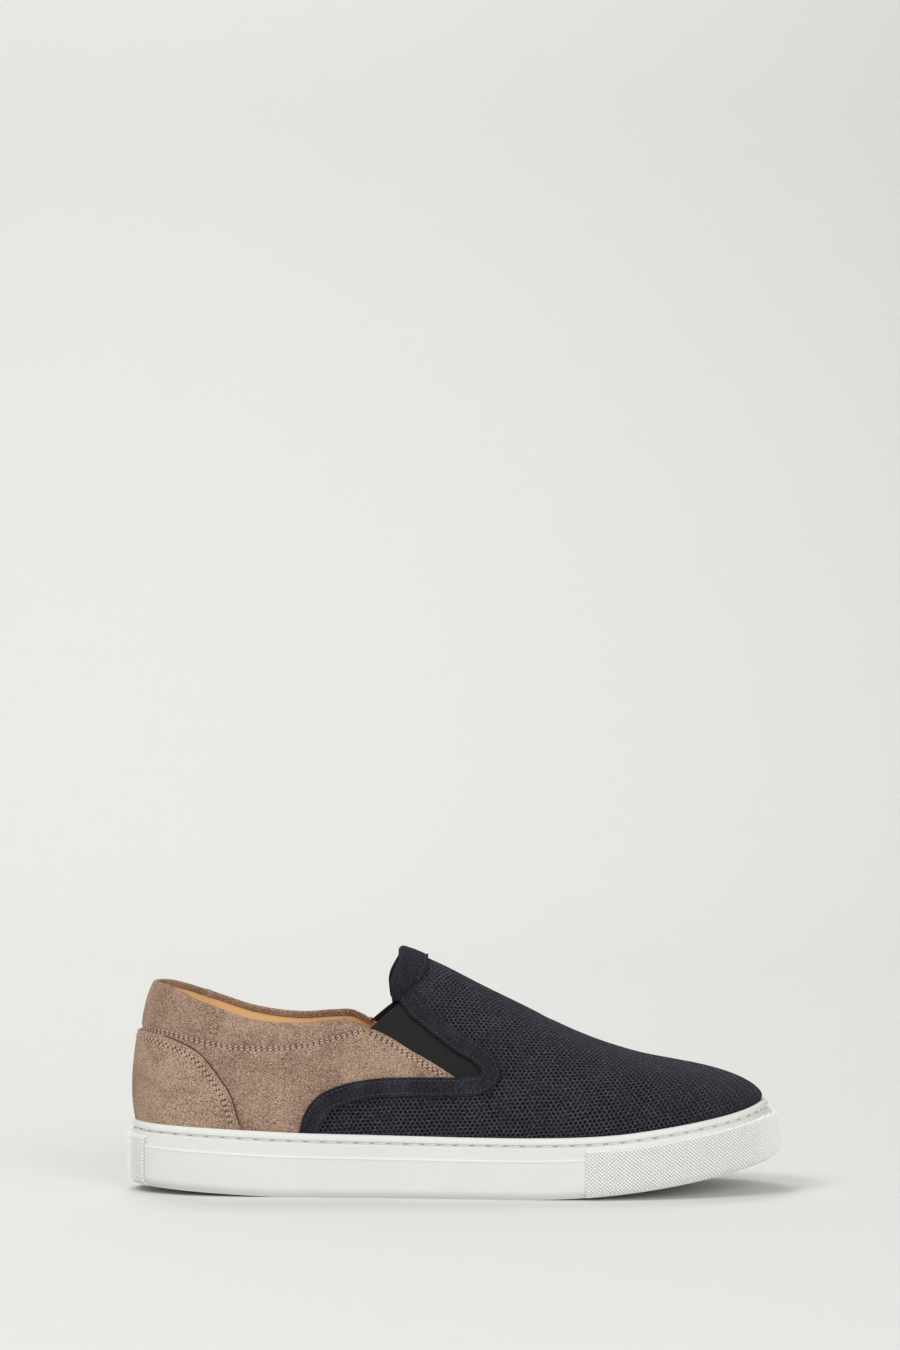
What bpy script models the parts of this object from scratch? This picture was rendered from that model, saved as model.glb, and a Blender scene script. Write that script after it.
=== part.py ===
"""A right-foot suede slip-on shoe on a rubber cupsole, standing empty on its sole.

Toe at +X, top at +Z, outer side of the foot at -Y. Sizes are in metres. The origin
lies on the floor under the middle of the sole.
"""

import math

import bmesh
import bpy
import numpy as np

# Driving sizes
LENGTH = 0.300  # outsole, heel to toe
BALL_WIDTH = 0.106  # outsole, across the ball
INSTEP_HEIGHT = 0.1115  # floor to the top of the tongue
HEEL_HEIGHT = 0.096  # floor to the topline at the back
SOLE_HEIGHT = 0.0277  # floor to the sole's lip at the waist
TOE_SPRING = 0.0165  # floor to the underside at the tip
HEEL_ROCKER = 0.0040  # floor to the underside at the back
SIDE_MARGIN = 0.0042  # outsole's edge to the upper along the sides and heel
TOE_MARGIN = 0.0093  # the same at the tip, where the bumper leans out
CUP_TUCK = 0.0030  # how far the upper turns in between lip and cup floor
UPPER_WALL = 0.0022  # suede and lining together
HEEL_BULGE = 0.0017  # how far the heel swells over its feather edge
SIDE_BULGE = 0.0010
TONGUE_SWEEP = 0.0045  # how far the tongue's back edge bows towards the heel
INSOLE_THICKNESS = 0.0045
INSOLE_EDGE = 0.0010  # bevel round the insole's top
COUNTER_THICKNESS = 0.0012
BAND_THICKNESS = 0.0010
BAND_WIDTH = 0.0088
TONGUE_BAND_WIDTH = 0.0105
GORE_THICKNESS = 0.0012
GORE_DEPTH = 0.0006  # how far the elastic lies below the suede's face
PATCH_STEP = 0.0006  # how far the toe and heel patches stand off the side wall
SIDE_STEP = 0.0006  # ledge along the side wall
SEAM_GROOVE = 0.0008  # depth of the channel that the sole's stitches lie in
FLEX_GROOVE_WIDTH = 0.0024
FLEX_GROOVE_DEPTH = 0.0016
FLEX_GROOVE_PITCH = 0.0110
TREAD_RIM = 0.0110  # uncut rubber left round the flex grooves
RIM_RADIUS = 0.0030  # rounding of the tread's and the lip's edges
LIP_LAND = 0.0012  # least width of the lip's flat top
CLEARANCE = 0.0003  # between pieces that touch

# Where the underside leaves the floor, as shares of the length, and the powers of
# the curves that it leaves it by
SPRING_SHARE = 0.600
SPRING_POWER = 1.88
ROCKER_SHARE = 0.235
ROCKER_POWER = 1.2

# Where the margin round the upper starts to widen towards the toe, as a share of the
# way from heel to toe round a side, and the power of that curve
MARGIN_SHARE = 0.70
MARGIN_POWER = 1.5

# Outline of the outsole: share of the length from the heel, then how far the edge
# lies to the outer and to the inner side, as shares of the ball width.
OUTLINE = (
    (0.033, 0.222, 0.222),
    (0.083, 0.311, 0.307),
    (0.150, 0.354, 0.346),
    (0.233, 0.372, 0.354),
    (0.333, 0.386, 0.342),
    (0.433, 0.414, 0.336),
    (0.533, 0.455, 0.366),
    (0.617, 0.486, 0.424),
    (0.683, 0.498, 0.474),
    (0.750, 0.488, 0.502),
    (0.817, 0.452, 0.502),
    (0.873, 0.395, 0.472),
    (0.927, 0.305, 0.412),
    (0.967, 0.192, 0.325),
    (0.990, 0.060, 0.215),
)
TOE_APEX_SHARE = 0.085  # the tip's shift to the inner side, as a share of the ball width

# Sections of the last: share of the length, height of the ridge as a share of the
# instep height, its shift to the inner side as a share of the ball width, and the
# powers of the cosine and sine that draw it: 1 and 1 for an ellipse, less for a
# squarer section, and a larger second one for a foot that flares below a round top.
SECTIONS = (
    (0.150, 1.090, 0.000, 0.74, 0.74),
    (0.267, 1.080, 0.002, 0.85, 0.86),
    (0.350, 1.038, 0.006, 0.95, 1.05),
    (0.421, 0.988, 0.012, 1.00, 1.20),
    (0.476, 0.926, 0.018, 1.00, 1.14),
    (0.537, 0.842, 0.024, 0.98, 1.03),
    (0.599, 0.760, 0.030, 0.94, 0.95),
    (0.660, 0.678, 0.036, 0.89, 0.88),
    (0.721, 0.609, 0.044, 0.84, 0.83),
    (0.783, 0.555, 0.052, 0.80, 0.79),
    (0.835, 0.529, 0.060, 0.77, 0.77),
)
TOE_CENTRE_SHARE = 0.835  # where the ribs of the toe and of the heel fan out from
HEEL_CENTRE_SHARE = 0.150
TOE_SLOPE_SHARE = 0.40  # part of the toe's height that falls evenly to the tip
SWELL_POWER = 4  # the larger, the lower the bulge of the sides and heel lies
SWEEP_SHARE = 0.10  # how far along the length the tongue's bow reaches

# The sole's lip, where the upper comes out of it: share of the length, height as a
# share of the sole height.
LIP = (
    (0.010, 1.166),
    (0.127, 1.112),
    (0.267, 1.043),
    (0.400, 1.014),
    (0.517, 0.998),
    (0.610, 0.998),
    (0.687, 1.016),
    (0.747, 1.056),
    (0.807, 1.135),
    (0.870, 1.236),
    (0.933, 1.362),
    (0.970, 1.462),
)

# The cup's floor, in the same columns.
CUP_FLOOR = (
    (0.010, 0.640),
    (0.130, 0.620),
    (0.300, 0.570),
    (0.500, 0.420),
    (0.667, 0.360),
    (0.800, 0.470),
    (0.900, 0.640),
    (0.970, 0.790),
)

# The topline: share of the length, height as a share of the heel height. Its last
# three rows are the elastic's free edge.
TOPLINE = (
    (0.043, 1.000),
    (0.058, 0.992),
    (0.073, 0.975),
    (0.088, 0.954),
    (0.105, 0.924),
    (0.127, 0.903),
    (0.147, 0.882),
    (0.186, 0.842),
    (0.233, 0.822),
    (0.265, 0.821),
    (0.312, 0.833),
    (0.343, 0.832),
    (0.357, 0.813),
    (0.370, 0.797),
    (0.383, 0.842),
    (0.411, 0.903),
)
TONGUE_SHARE = 0.421  # place of the tongue's top edge along the ridge

# Side of the sole from the floor up: share of the wall's height, inset from the
# outline in sizes of the rim radius, ledge and groove, share of the toe's lean, and
# 1 for the rows that stand out on the toe and heel patches.
SIDE_ROWS = (
    # height, rim, ledge, groove, lean, patch
    (0.000, 1.00, 0, 0.0, 0.00, 1),
    (0.050, 0.35, 0, 0.0, 0.00, 1),
    (0.150, 0.05, 0, 0.0, 0.06, 1),
    (0.420, 0.00, 0, 0.0, 0.20, 1),
    (0.630, 0.00, 0, 0.0, 0.44, 1),
    (0.655, 0.00, 1, 0.0, 0.48, 1),
    (0.775, 0.00, 1, 0.0, 0.70, 1),
    (0.800, 0.00, 1, 0.0, 0.80, 0),
    (0.840, 0.00, 1, 0.0, 0.88, 0),
    (0.870, 0.00, 1, 1.0, 0.90, 0),
    (0.900, 0.00, 1, 0.0, 0.92, 0),
    (0.965, 0.05, 1, 0.0, 0.95, 0),
    (1.000, 0.35, 1, 0.0, 0.97, 0),
)
TOE_PATCH_SHARE = 0.654  # where the toe patch starts along each side, heel 0 to toe 1
HEEL_PATCH_SHARE = 0.036  # where the heel patch ends
PATCH_EDGE_SHARE = 0.0015  # how far round the side a patch takes to step out

# Edges on the side of the upper, as seen from beside it: share of the length, then
# height as a share of the instep height.
COUNTER_EDGE = (
    (0.034, 0.654),
    (0.051, 0.649),
    (0.072, 0.632),
    (0.089, 0.614),
    (0.115, 0.572),
    (0.128, 0.533),
    (0.143, 0.481),
    (0.160, 0.410),
    (0.169, 0.333),
    (0.175, 0.279),
)
BAND_PATH = (
    (0.284, 0.2685),
    (0.287, 0.305),
    (0.293, 0.337),
    (0.305, 0.377),
    (0.326, 0.408),
    (0.350, 0.429),
    (0.378, 0.440),
    (0.424, 0.446),
    (0.473, 0.447),
    (0.505, 0.449),
    (0.527, 0.454),
    (0.545, 0.471),
    (0.553, 0.500),
    (0.550, 0.534),
    (0.535, 0.574),
    (0.502, 0.626),
    (0.464, 0.705),
    (0.440, 0.755),
    (0.424, 0.812),
)
TONGUE_BAND_SHARES = (0.805, 0.890)  # heights of its back and front corners
GORE_BACK = (
    (0.371, 0.684),
    (0.401, 0.645),
    (0.431, 0.595),
    (0.461, 0.551),
    (0.499, 0.488),
)
GORE_FRONT = (
    (0.411, 0.778),
    (0.430, 0.720),
    (0.452, 0.672),
    (0.476, 0.627),
    (0.508, 0.568),
    (0.533, 0.492),
)

# Flex grooves in the tread: share of the length of the first, and how many
FOREFOOT_GROOVES = (0.600, 7)
HEEL_GROOVES = (0.120, 5)

# Mesh fineness
OUTLINE_SAMPLES = 2400
OUTLINE_ROUNDING = 14  # passes that take the corners out of the outline
EDGE_STEPS = 1000  # from the toe to the heel along one side
QUARTER_COLUMNS = 19
VAMP_COLUMNS = 24
COLUMN_GAP = 0.008
WALL_ROWS = 7
CROWN_ROWS = 6
TAIL_ROWS = (1.0, 0.5)
COUNTER_GRID = (5, 31)
BAND_GRID = (34, 3)
TONGUE_BAND_GRID = (4, 15)
GORE_GRID = (8, 5)
NOTCH_RISE = 1.2  # how far the notch's cutter stands above the elastic's free edge
ROUND_STEP = 0.006  # steps that the upper's normals are taken over
CLIMB_STEP = 0.03
NORMAL_RANGE = (0.10, math.pi / 2 - 0.08)  # climbs where a rib has a normal of its own
SOLVER_STEP = 1e-4
FIRST_CLIMB = 0.6  # where the search for a point in the side view starts

SUEDE_TAUPE = ((0.36, 0.28, 0.22), 0.95, 0.0)
SUEDE_NAVY = ((0.022, 0.022, 0.040), 0.95, 0.0)
ELASTIC_BLACK = ((0.018, 0.019, 0.020), 0.90, 0.0)
LEATHER_TAN = ((0.72, 0.38, 0.14), 0.55, 0.0)
RUBBER_WHITE = ((0.82, 0.82, 0.77), 0.60, 0.0)


def smooth(rows, column, at):
    """A column of a table at these places, by a cubic through its rows."""
    places = np.array([row[0] for row in rows])
    values = np.array([row[column] for row in rows])
    steps = np.diff(places)
    rises = np.diff(values) / steps
    inner = (rises[:-1] * steps[1:] + rises[1:] * steps[:-1]) / (steps[:-1] + steps[1:])
    slopes = np.concatenate([rises[:1], inner, rises[-1:]])
    at = np.clip(at, places[0], places[-1])
    i = np.clip(np.searchsorted(places, at) - 1, 0, len(places) - 2)
    t = (at - places[i]) / steps[i]
    start = (1 + 2 * t) * (1 - t) ** 2 * values[i] + t * (1 - t) ** 2 * steps[i] * slopes[i]
    end = t**2 * (3 - 2 * t) * values[i + 1] + t**2 * (t - 1) * steps[i] * slopes[i + 1]
    return start + end


def ease(low, high, at):
    """0 below low, 1 above high, and a smooth step between."""
    t = np.clip((at - low) / (high - low), 0, 1)
    return t * t * (3 - 2 * t)


def share_of(x):
    return x / LENGTH + 0.5


def outline_curve():
    """The outsole's outline as dense points from the toe by the outer side, heel and
    inner side to the toe again, with evenly spaced steps on each side."""
    outer = [(row[0], -row[1]) for row in OUTLINE]
    inner = [(row[0], row[2]) for row in OUTLINE]
    loop = np.array([(1.0, TOE_APEX_SHARE)] + outer[::-1] + [(0.0, 0.0)] + inner)
    loop = (loop - (0.5, 0.0)) * (LENGTH, BALL_WIDTH)
    chords = np.linalg.norm(np.roll(loop, -1, axis=0) - loop, axis=1)
    rises = (np.roll(loop, -1, axis=0) - loop) / chords[:, None]
    before = np.roll(chords, 1)[:, None]
    slopes = (np.roll(rises, 1, axis=0) * chords[:, None] + rises * before) / (before + chords[:, None])
    starts = np.concatenate([[0], np.cumsum(chords)])
    at = np.linspace(0, starts[-1], OUTLINE_SAMPLES, endpoint=False)
    i = np.clip(np.searchsorted(starts, at, side="right") - 1, 0, len(loop) - 1)
    j = (i + 1) % len(loop)
    t = ((at - starts[i]) / chords[i])[:, None]
    span = chords[i][:, None]
    dense = (1 + 2 * t) * (1 - t) ** 2 * loop[i] + t * (1 - t) ** 2 * span * slopes[i]
    dense += t**2 * (3 - 2 * t) * loop[j] + t**2 * (t - 1) * span * slopes[j]
    for _ in range(OUTLINE_ROUNDING):
        dense = (np.roll(dense, 4, axis=0) + 2 * dense + np.roll(dense, -4, axis=0)) / 4
    low, high = dense.min(axis=0), dense.max(axis=0)
    dense = (dense - (low + high) / 2) * ((LENGTH, BALL_WIDTH) / (high - low))
    dense = np.roll(dense, -np.argmax(dense[:, 0]), axis=0)
    dense = np.vstack([dense, dense[:1]])
    heel = np.argmin(dense[:, 0])
    lengths = np.concatenate([[0], np.cumsum(np.linalg.norm(np.diff(dense, axis=0), axis=1))])
    outer_part = np.linspace(0, lengths[heel], EDGE_STEPS + 1)
    inner_part = np.linspace(lengths[heel], lengths[-1], EDGE_STEPS + 1)[1:]
    even = np.concatenate([outer_part, inner_part])
    return np.column_stack([np.interp(even, lengths, dense[:, axis]) for axis in (0, 1)])


EDGE = outline_curve()
EDGE_AT = np.linspace(-1, 1, len(EDGE))
EDGE_TANGENT = np.roll(EDGE[:-1], -1, axis=0) - np.roll(EDGE[:-1], 1, axis=0)
EDGE_TANGENT = np.vstack([EDGE_TANGENT, EDGE_TANGENT[:1]])
EDGE_INWARD = np.column_stack([-EDGE_TANGENT[:, 1], EDGE_TANGENT[:, 0]])
EDGE_INWARD = -EDGE_INWARD / np.linalg.norm(EDGE_INWARD, axis=1)[:, None]


def edge(round_at, inset):
    """A point in plan, this far in from the outline. round_at is 0 at the heel, -1 at
    the toe by the outer side and 1 at the toe by the inner side."""
    at = (np.asarray(round_at) + 1) % 2 - 1
    point = [np.interp(at, EDGE_AT, EDGE[:, axis]) for axis in (0, 1)]
    inward = [np.interp(at, EDGE_AT, EDGE_INWARD[:, axis]) for axis in (0, 1)]
    return point[0] + inward[0] * inset, point[1] + inward[1] * inset


def margin(round_at):
    """Outline to upper in plan: small along the sides, wide at the bumper."""
    at = np.abs((np.asarray(round_at) + 1) % 2 - 1)
    return SIDE_MARGIN + (TOE_MARGIN - SIDE_MARGIN) * ease(MARGIN_SHARE, 1.0, at) ** MARGIN_POWER


def lip_height(x):
    return smooth(LIP, 1, share_of(x)) * SOLE_HEIGHT


def floor_height(x):
    return smooth(CUP_FLOOR, 1, share_of(x)) * SOLE_HEIGHT


def underside_height(x):
    """Flat from heel to ball, with the toe sprung up and the heel eased."""
    share = share_of(x)
    toe = np.clip((share - SPRING_SHARE) / (1 - SPRING_SHARE), 0, 1) ** SPRING_POWER * TOE_SPRING
    heel = np.clip(1 - share / ROCKER_SHARE, 0, 1) ** ROCKER_POWER * HEEL_ROCKER
    return toe + heel


def fan(x):
    """Where a rib that starts at x meets the ridge, along the length."""
    toe_x, heel_x = LENGTH / 2 - TOE_MARGIN, SIDE_MARGIN - LENGTH / 2
    toe_reach = toe_x - (TOE_CENTRE_SHARE - 0.5) * LENGTH
    heel_reach = (HEEL_CENTRE_SHARE - 0.5) * LENGTH - heel_x
    past_toe = np.clip(x - (toe_x - 2 * toe_reach), 0, 2 * toe_reach)
    past_heel = np.clip((heel_x + 2 * heel_reach) - x, 0, 2 * heel_reach)
    return x - past_toe**2 / (4 * toe_reach) + past_heel**2 / (4 * heel_reach)


# The largest value of rise * (1 - rise) ** SWELL_POWER
SWELL_PEAK = (SWELL_POWER / (SWELL_POWER + 1)) ** SWELL_POWER / (SWELL_POWER + 1)


def last(round_at, climb):
    """The upper's outer face. climb goes from 0 at the lip to pi / 2 at the ridge, and
    on past it down the other side."""
    round_at, climb = np.broadcast_arrays(np.asarray(round_at, float), np.asarray(climb, float))
    over = climb > math.pi / 2
    round_at = np.where(over, -round_at, round_at)
    climb = np.where(over, math.pi - climb, climb)
    foot_x, foot_y = edge(round_at, margin(round_at))
    other_x, _ = edge(-round_at, margin(round_at))
    ridge_x = fan((foot_x + other_x) / 2)
    share = share_of(ridge_x)
    ridge_y = smooth(SECTIONS, 2, share) * BALL_WIDTH
    ridge_z = smooth(SECTIONS, 1, share) * INSTEP_HEIGHT
    inward, upward = smooth(SECTIONS, 3, share), smooth(SECTIONS, 4, share)
    turn = np.sign(climb) * (np.abs(climb) / (math.pi / 2)) ** (1 / upward) * math.pi / 2
    lip_z = lip_height(foot_x)
    along = 1 - np.maximum(np.cos(turn), 0) ** inward
    rise = np.sign(turn) * np.abs(np.sin(turn)) ** upward
    across_x, across_y = ridge_x - foot_x, ridge_y - foot_y
    reach = np.hypot(across_x, across_y)
    to_heel = np.clip(-across_x / reach, 0, 1)
    slope = TOE_SLOPE_SHARE * to_heel
    at_heel = np.clip(across_x / reach, 0, 1)
    swell = rise * (1 - np.abs(rise)) ** SWELL_POWER / SWELL_PEAK
    swell = swell * (SIDE_BULGE + (HEEL_BULGE - SIDE_BULGE) * at_heel)
    from_tongue = (share - TONGUE_SHARE) / SWEEP_SHARE
    sweep = TONGUE_SWEEP * np.exp(-(from_tongue**2)) * np.sin(math.pi * along) ** 2
    x = foot_x + across_x * (along - swell / reach) - sweep
    y = foot_y + across_y * (along - swell / reach)
    z = lip_z + (ridge_z - lip_z) * ((1 - slope) * rise + slope * along)
    return np.stack([x, y, z], axis=-1)


def facing(round_at, climb):
    """The outward unit normal of the upper's outer face."""
    def normal(at, up):
        up = np.clip(up, *NORMAL_RANGE)
        forward = last(at + ROUND_STEP, up) - last(at - ROUND_STEP, up)
        upward = last(at, up + CLIMB_STEP) - last(at, up - CLIMB_STEP)
        found = np.cross(upward, forward)
        return found / np.linalg.norm(found, axis=-1)[..., None]

    round_at, climb = np.broadcast_arrays(np.asarray(round_at, float), np.asarray(climb, float))
    found = normal(round_at, climb)
    crown = (climb > NORMAL_RANGE[1])[..., None]
    both = normal(round_at, climb) + normal(-round_at, climb)
    both = both / np.linalg.norm(both, axis=-1)[..., None]
    return np.where(crown, both, found)


def on_last(round_at, climb, offset):
    return last(round_at, climb) + facing(round_at, climb) * offset


def climb_to(round_at, height):
    """How far up its rib the upper reaches this height, a function of x."""
    low = np.zeros_like(np.asarray(round_at, float))
    high = np.full_like(low, math.pi / 2)
    for _ in range(30):
        middle = (low + high) / 2
        point = last(round_at, middle)
        above = point[..., 2] > height(point[..., 0])
        high = np.where(above, middle, high)
        low = np.where(above, low, middle)
    return (low + high) / 2


def topline_climb(round_at):
    return climb_to(round_at, lambda x: smooth(TOPLINE, 1, share_of(x)) * HEEL_HEIGHT)


def foot_climb(round_at):
    """Where a piece that rests on the lip starts."""
    return climb_to(round_at, lambda x: lip_height(x) + 2 * CLEARANCE)


def seen_at(side, rows):
    """(round_at, climb) of the points of the upper that lie at these places in a side
    view. side is -1 for the outer side and 1 for the inner side."""
    found = []
    for length_share, height_share in rows:
        target = np.array([(length_share - 0.5) * LENGTH, height_share * INSTEP_HEIGHT])
        guess = np.array([side * length_share, FIRST_CLIMB])
        for _ in range(40):
            here = last(*guess)[[0, 2]]
            along = (last(guess[0] + SOLVER_STEP, guess[1])[[0, 2]] - here) / SOLVER_STEP
            upward = (last(guess[0], guess[1] + SOLVER_STEP)[[0, 2]] - here) / SOLVER_STEP
            step = np.linalg.solve(np.column_stack([along, upward]), target - here)
            guess = guess + np.clip(step, -0.08, 0.08)
            guess[0] = side * np.clip(abs(guess[0]), 0.001, 0.97)
            guess[1] = np.clip(guess[1], 0.002, 1.45)
        found.append(guess)
    return np.array(found)


def resample(points, count):
    """The same path with evenly spaced points, rounded by a cubic."""
    points = np.asarray(points, float)
    places = last(points[:, 0], points[:, 1])
    lengths = np.concatenate([[0], np.cumsum(np.linalg.norm(np.diff(places, axis=0), axis=1))])
    rows = [(length, *point) for length, point in zip(lengths, points)]
    even = np.linspace(0, lengths[-1], count)
    return np.column_stack([smooth(rows, column, even) for column in (1, 2)])


def material(name, look):
    colour, roughness, metallic = look
    made = bpy.data.materials.get(name) or bpy.data.materials.new(name)
    made.use_nodes = True
    shader = made.node_tree.nodes["Principled BSDF"]
    shader.inputs["Base Color"].default_value = (*colour, 1)
    shader.inputs["Roughness"].default_value = roughness
    shader.inputs["Metallic"].default_value = metallic
    made.diffuse_color = (*colour, 1)
    return made


def solid(name, points, faces, finish, look):
    """One closed mesh, its faces turned outwards."""
    mesh = bpy.data.meshes.new(name)
    mesh.from_pydata([tuple(map(float, point)) for point in points], [], faces)
    work = bmesh.new()
    work.from_mesh(mesh)
    bmesh.ops.recalc_face_normals(work, faces=work.faces)
    work.to_mesh(mesh)
    work.free()
    mesh.shade_smooth()
    mesh.set_sharp_from_angle(angle=math.radians(38))
    made = bpy.data.objects.new(name, mesh)
    bpy.context.scene.collection.objects.link(made)
    mesh.materials.append(material(finish, look))
    return made


def thicken(name, outer, inner, quads, finish, look):
    """A wall between two faces that share their quads, with a rim round every edge."""
    count = len(outer)
    edges = {}
    for quad in quads:
        for a, b in zip(quad, quad[1:] + quad[:1]):
            edges[(a, b)] = edges.get((a, b), 0) + 1
    faces = [list(quad) for quad in quads]
    faces += [[corner + count for corner in reversed(quad)] for quad in quads]
    faces += [[b, a, a + count, b + count] for a, b in edges if (b, a) not in edges]
    return solid(name, np.vstack([outer, inner]), faces, finish, look)


def sheet(name, grid, low, high, finish, look):
    """A panel on the upper: grid holds (round_at, climb) by row and column, and the
    panel fills the space between two distances from the upper's outer face."""
    rows, columns = grid.shape[:2]
    at, up = grid[..., 0].reshape(-1), grid[..., 1].reshape(-1)
    quads = []
    for row in range(rows - 1):
        for column in range(columns - 1):
            first = row * columns + column
            quads.append([first, first + 1, first + columns + 1, first + columns])
    return thicken(name, on_last(at, up, high), on_last(at, up, low), quads, finish, look)


def stack(name, rings, finish, look):
    """A body from rings of as many points, each closed at the ends of the stack by
    rungs from the outer side to the inner side."""
    size = len(rings[0])
    half = size // 2
    faces = []
    for level in range(len(rings) - 1):
        for i in range(size):
            j = (i + 1) % size
            faces.append([level * size + i, level * size + j, (level + 1) * size + j, (level + 1) * size + i])
    for start in (0, (len(rings) - 1) * size):
        for i in range(half):
            corners = [i, i + 1, size - i - 1, (size - i) % size]
            faces.append([start + corner for corner in dict.fromkeys(corners)])
    return solid(name, np.vstack(rings), faces, finish, look)


def side_columns():
    """Places along one side, heel 0 to toe 1, that every piece shares: even steps, the
    tongue's edge and the ends of the patches."""
    tongue = tongue_column()
    quarter = np.linspace(0, tongue, QUARTER_COLUMNS + 1)
    vamp = np.linspace(tongue, 1, VAMP_COLUMNS + 1)[1:]
    patches = (HEEL_PATCH_SHARE, TOE_PATCH_SHARE)
    even = [*quarter, *vamp]
    even = [at for at in even if min(abs(at - patch) for patch in patches) > COLUMN_GAP]
    return np.array(sorted({*even, *patches, 0.0, 1.0, tongue}))


def tongue_column():
    low, high = 0.0, 1.0
    for _ in range(40):
        middle = (low + high) / 2
        beyond = last(middle, math.pi / 2)[0] > (TONGUE_SHARE - 0.5) * LENGTH
        low, high = (low, middle) if beyond else (middle, high)
    return (low + high) / 2


def loop_columns(columns):
    """The same places all the way round: toe, outer side, heel, inner side."""
    return np.concatenate([-columns[::-1], columns[1:-1]])


def tail_inset(columns, part):
    """The upper's outer face below the lip, part 0, down to the cup floor, part 1."""
    return margin(columns) + CUP_TUCK * part**2


def tail_height(x, part, lift):
    return lip_height(x) + (floor_height(x) + lift - lip_height(x)) * part


def build_sole(columns):
    """The cupsole: tread, side wall with its ledge and channel, lip and cup."""
    steps = (HEEL_PATCH_SHARE + PATCH_EDGE_SHARE, TOE_PATCH_SHARE - PATCH_EDGE_SHARE)
    at = loop_columns(np.sort([*columns, *steps]))
    away = np.abs(at)
    on_patch = (away <= HEEL_PATCH_SHARE) | (away >= TOE_PATCH_SHARE)
    lean = margin(at) - SIDE_MARGIN
    rings = []
    for share, rim, ledge, groove, leans, patch in SIDE_ROWS:
        inset = rim * RIM_RADIUS + groove * SEAM_GROOVE + lean * leans
        inset = inset + np.where(on_patch & (patch == 1), 0, PATCH_STEP + ledge * SIDE_STEP)
        x, y = edge(at, np.minimum(inset, margin(at) - LIP_LAND))
        low = underside_height(x)
        rings.append(np.column_stack([x, y, low + (lip_height(x) - low) * share]))
    for part in (0.0, *TAIL_ROWS[::-1]):
        x, y = edge(at, tail_inset(at, part) - CLEARANCE)
        rings.append(np.column_stack([x, y, tail_height(x, part, 0.0)]))
    made = stack("sole", rings, "white_rubber", RUBBER_WHITE)
    cut_flex_grooves(made)
    return made


def cut_flex_grooves(body):
    """Straight grooves across the tread, each lying along the local underside."""
    points, faces = [], []
    for start, count in (FOREFOOT_GROOVES, HEEL_GROOVES):
        for number in range(count):
            middle = (start - 0.5) * LENGTH + number * FLEX_GROOVE_PITCH
            near = np.interp(middle, EDGE[EDGE_STEPS::-1, 0], EDGE[EDGE_STEPS::-1, 1])
            far = np.interp(middle, EDGE[EDGE_STEPS:, 0], EDGE[EDGE_STEPS:, 1])
            first = len(points)
            for x in (middle - FLEX_GROOVE_WIDTH / 2, middle + FLEX_GROOVE_WIDTH / 2):
                level = float(underside_height(x))
                for y in (near + TREAD_RIM, far - TREAD_RIM):
                    for z in (level - FLEX_GROOVE_WIDTH, level + FLEX_GROOVE_DEPTH):
                        points.append((x, y, z))
            quads = [(0, 1, 3, 2), (4, 6, 7, 5), (0, 4, 5, 1), (2, 3, 7, 6), (0, 2, 6, 4), (1, 5, 7, 3)]
            faces += [[first + corner for corner in quad] for quad in quads]
    cutter = solid("tread_cutter", points, faces, "white_rubber", RUBBER_WHITE)
    cut(body, cutter)


def cut(body, cutter):
    cutter.hide_render = True
    cutter.display_type = "WIRE"
    modifier = body.modifiers.new(cutter.name, "BOOLEAN")
    modifier.operation = "DIFFERENCE"
    modifier.solver = "EXACT"
    modifier.object = cutter


def build_insole(columns):
    """The footbed: a pad that lies on the cup floor inside the upper."""
    at = loop_columns(columns)
    rings = []
    for lift, bevel in ((0, 0), (INSOLE_THICKNESS - INSOLE_EDGE, 0), (INSOLE_THICKNESS, INSOLE_EDGE)):
        inset = tail_inset(at, 1.0) + UPPER_WALL + CLEARANCE + bevel
        x, y = edge(at, inset)
        rings.append(np.column_stack([x, y, floor_height(x) + CLEARANCE + lift]))
    return stack("insole", rings, "tan_leather", LEATHER_TAN)


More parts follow.
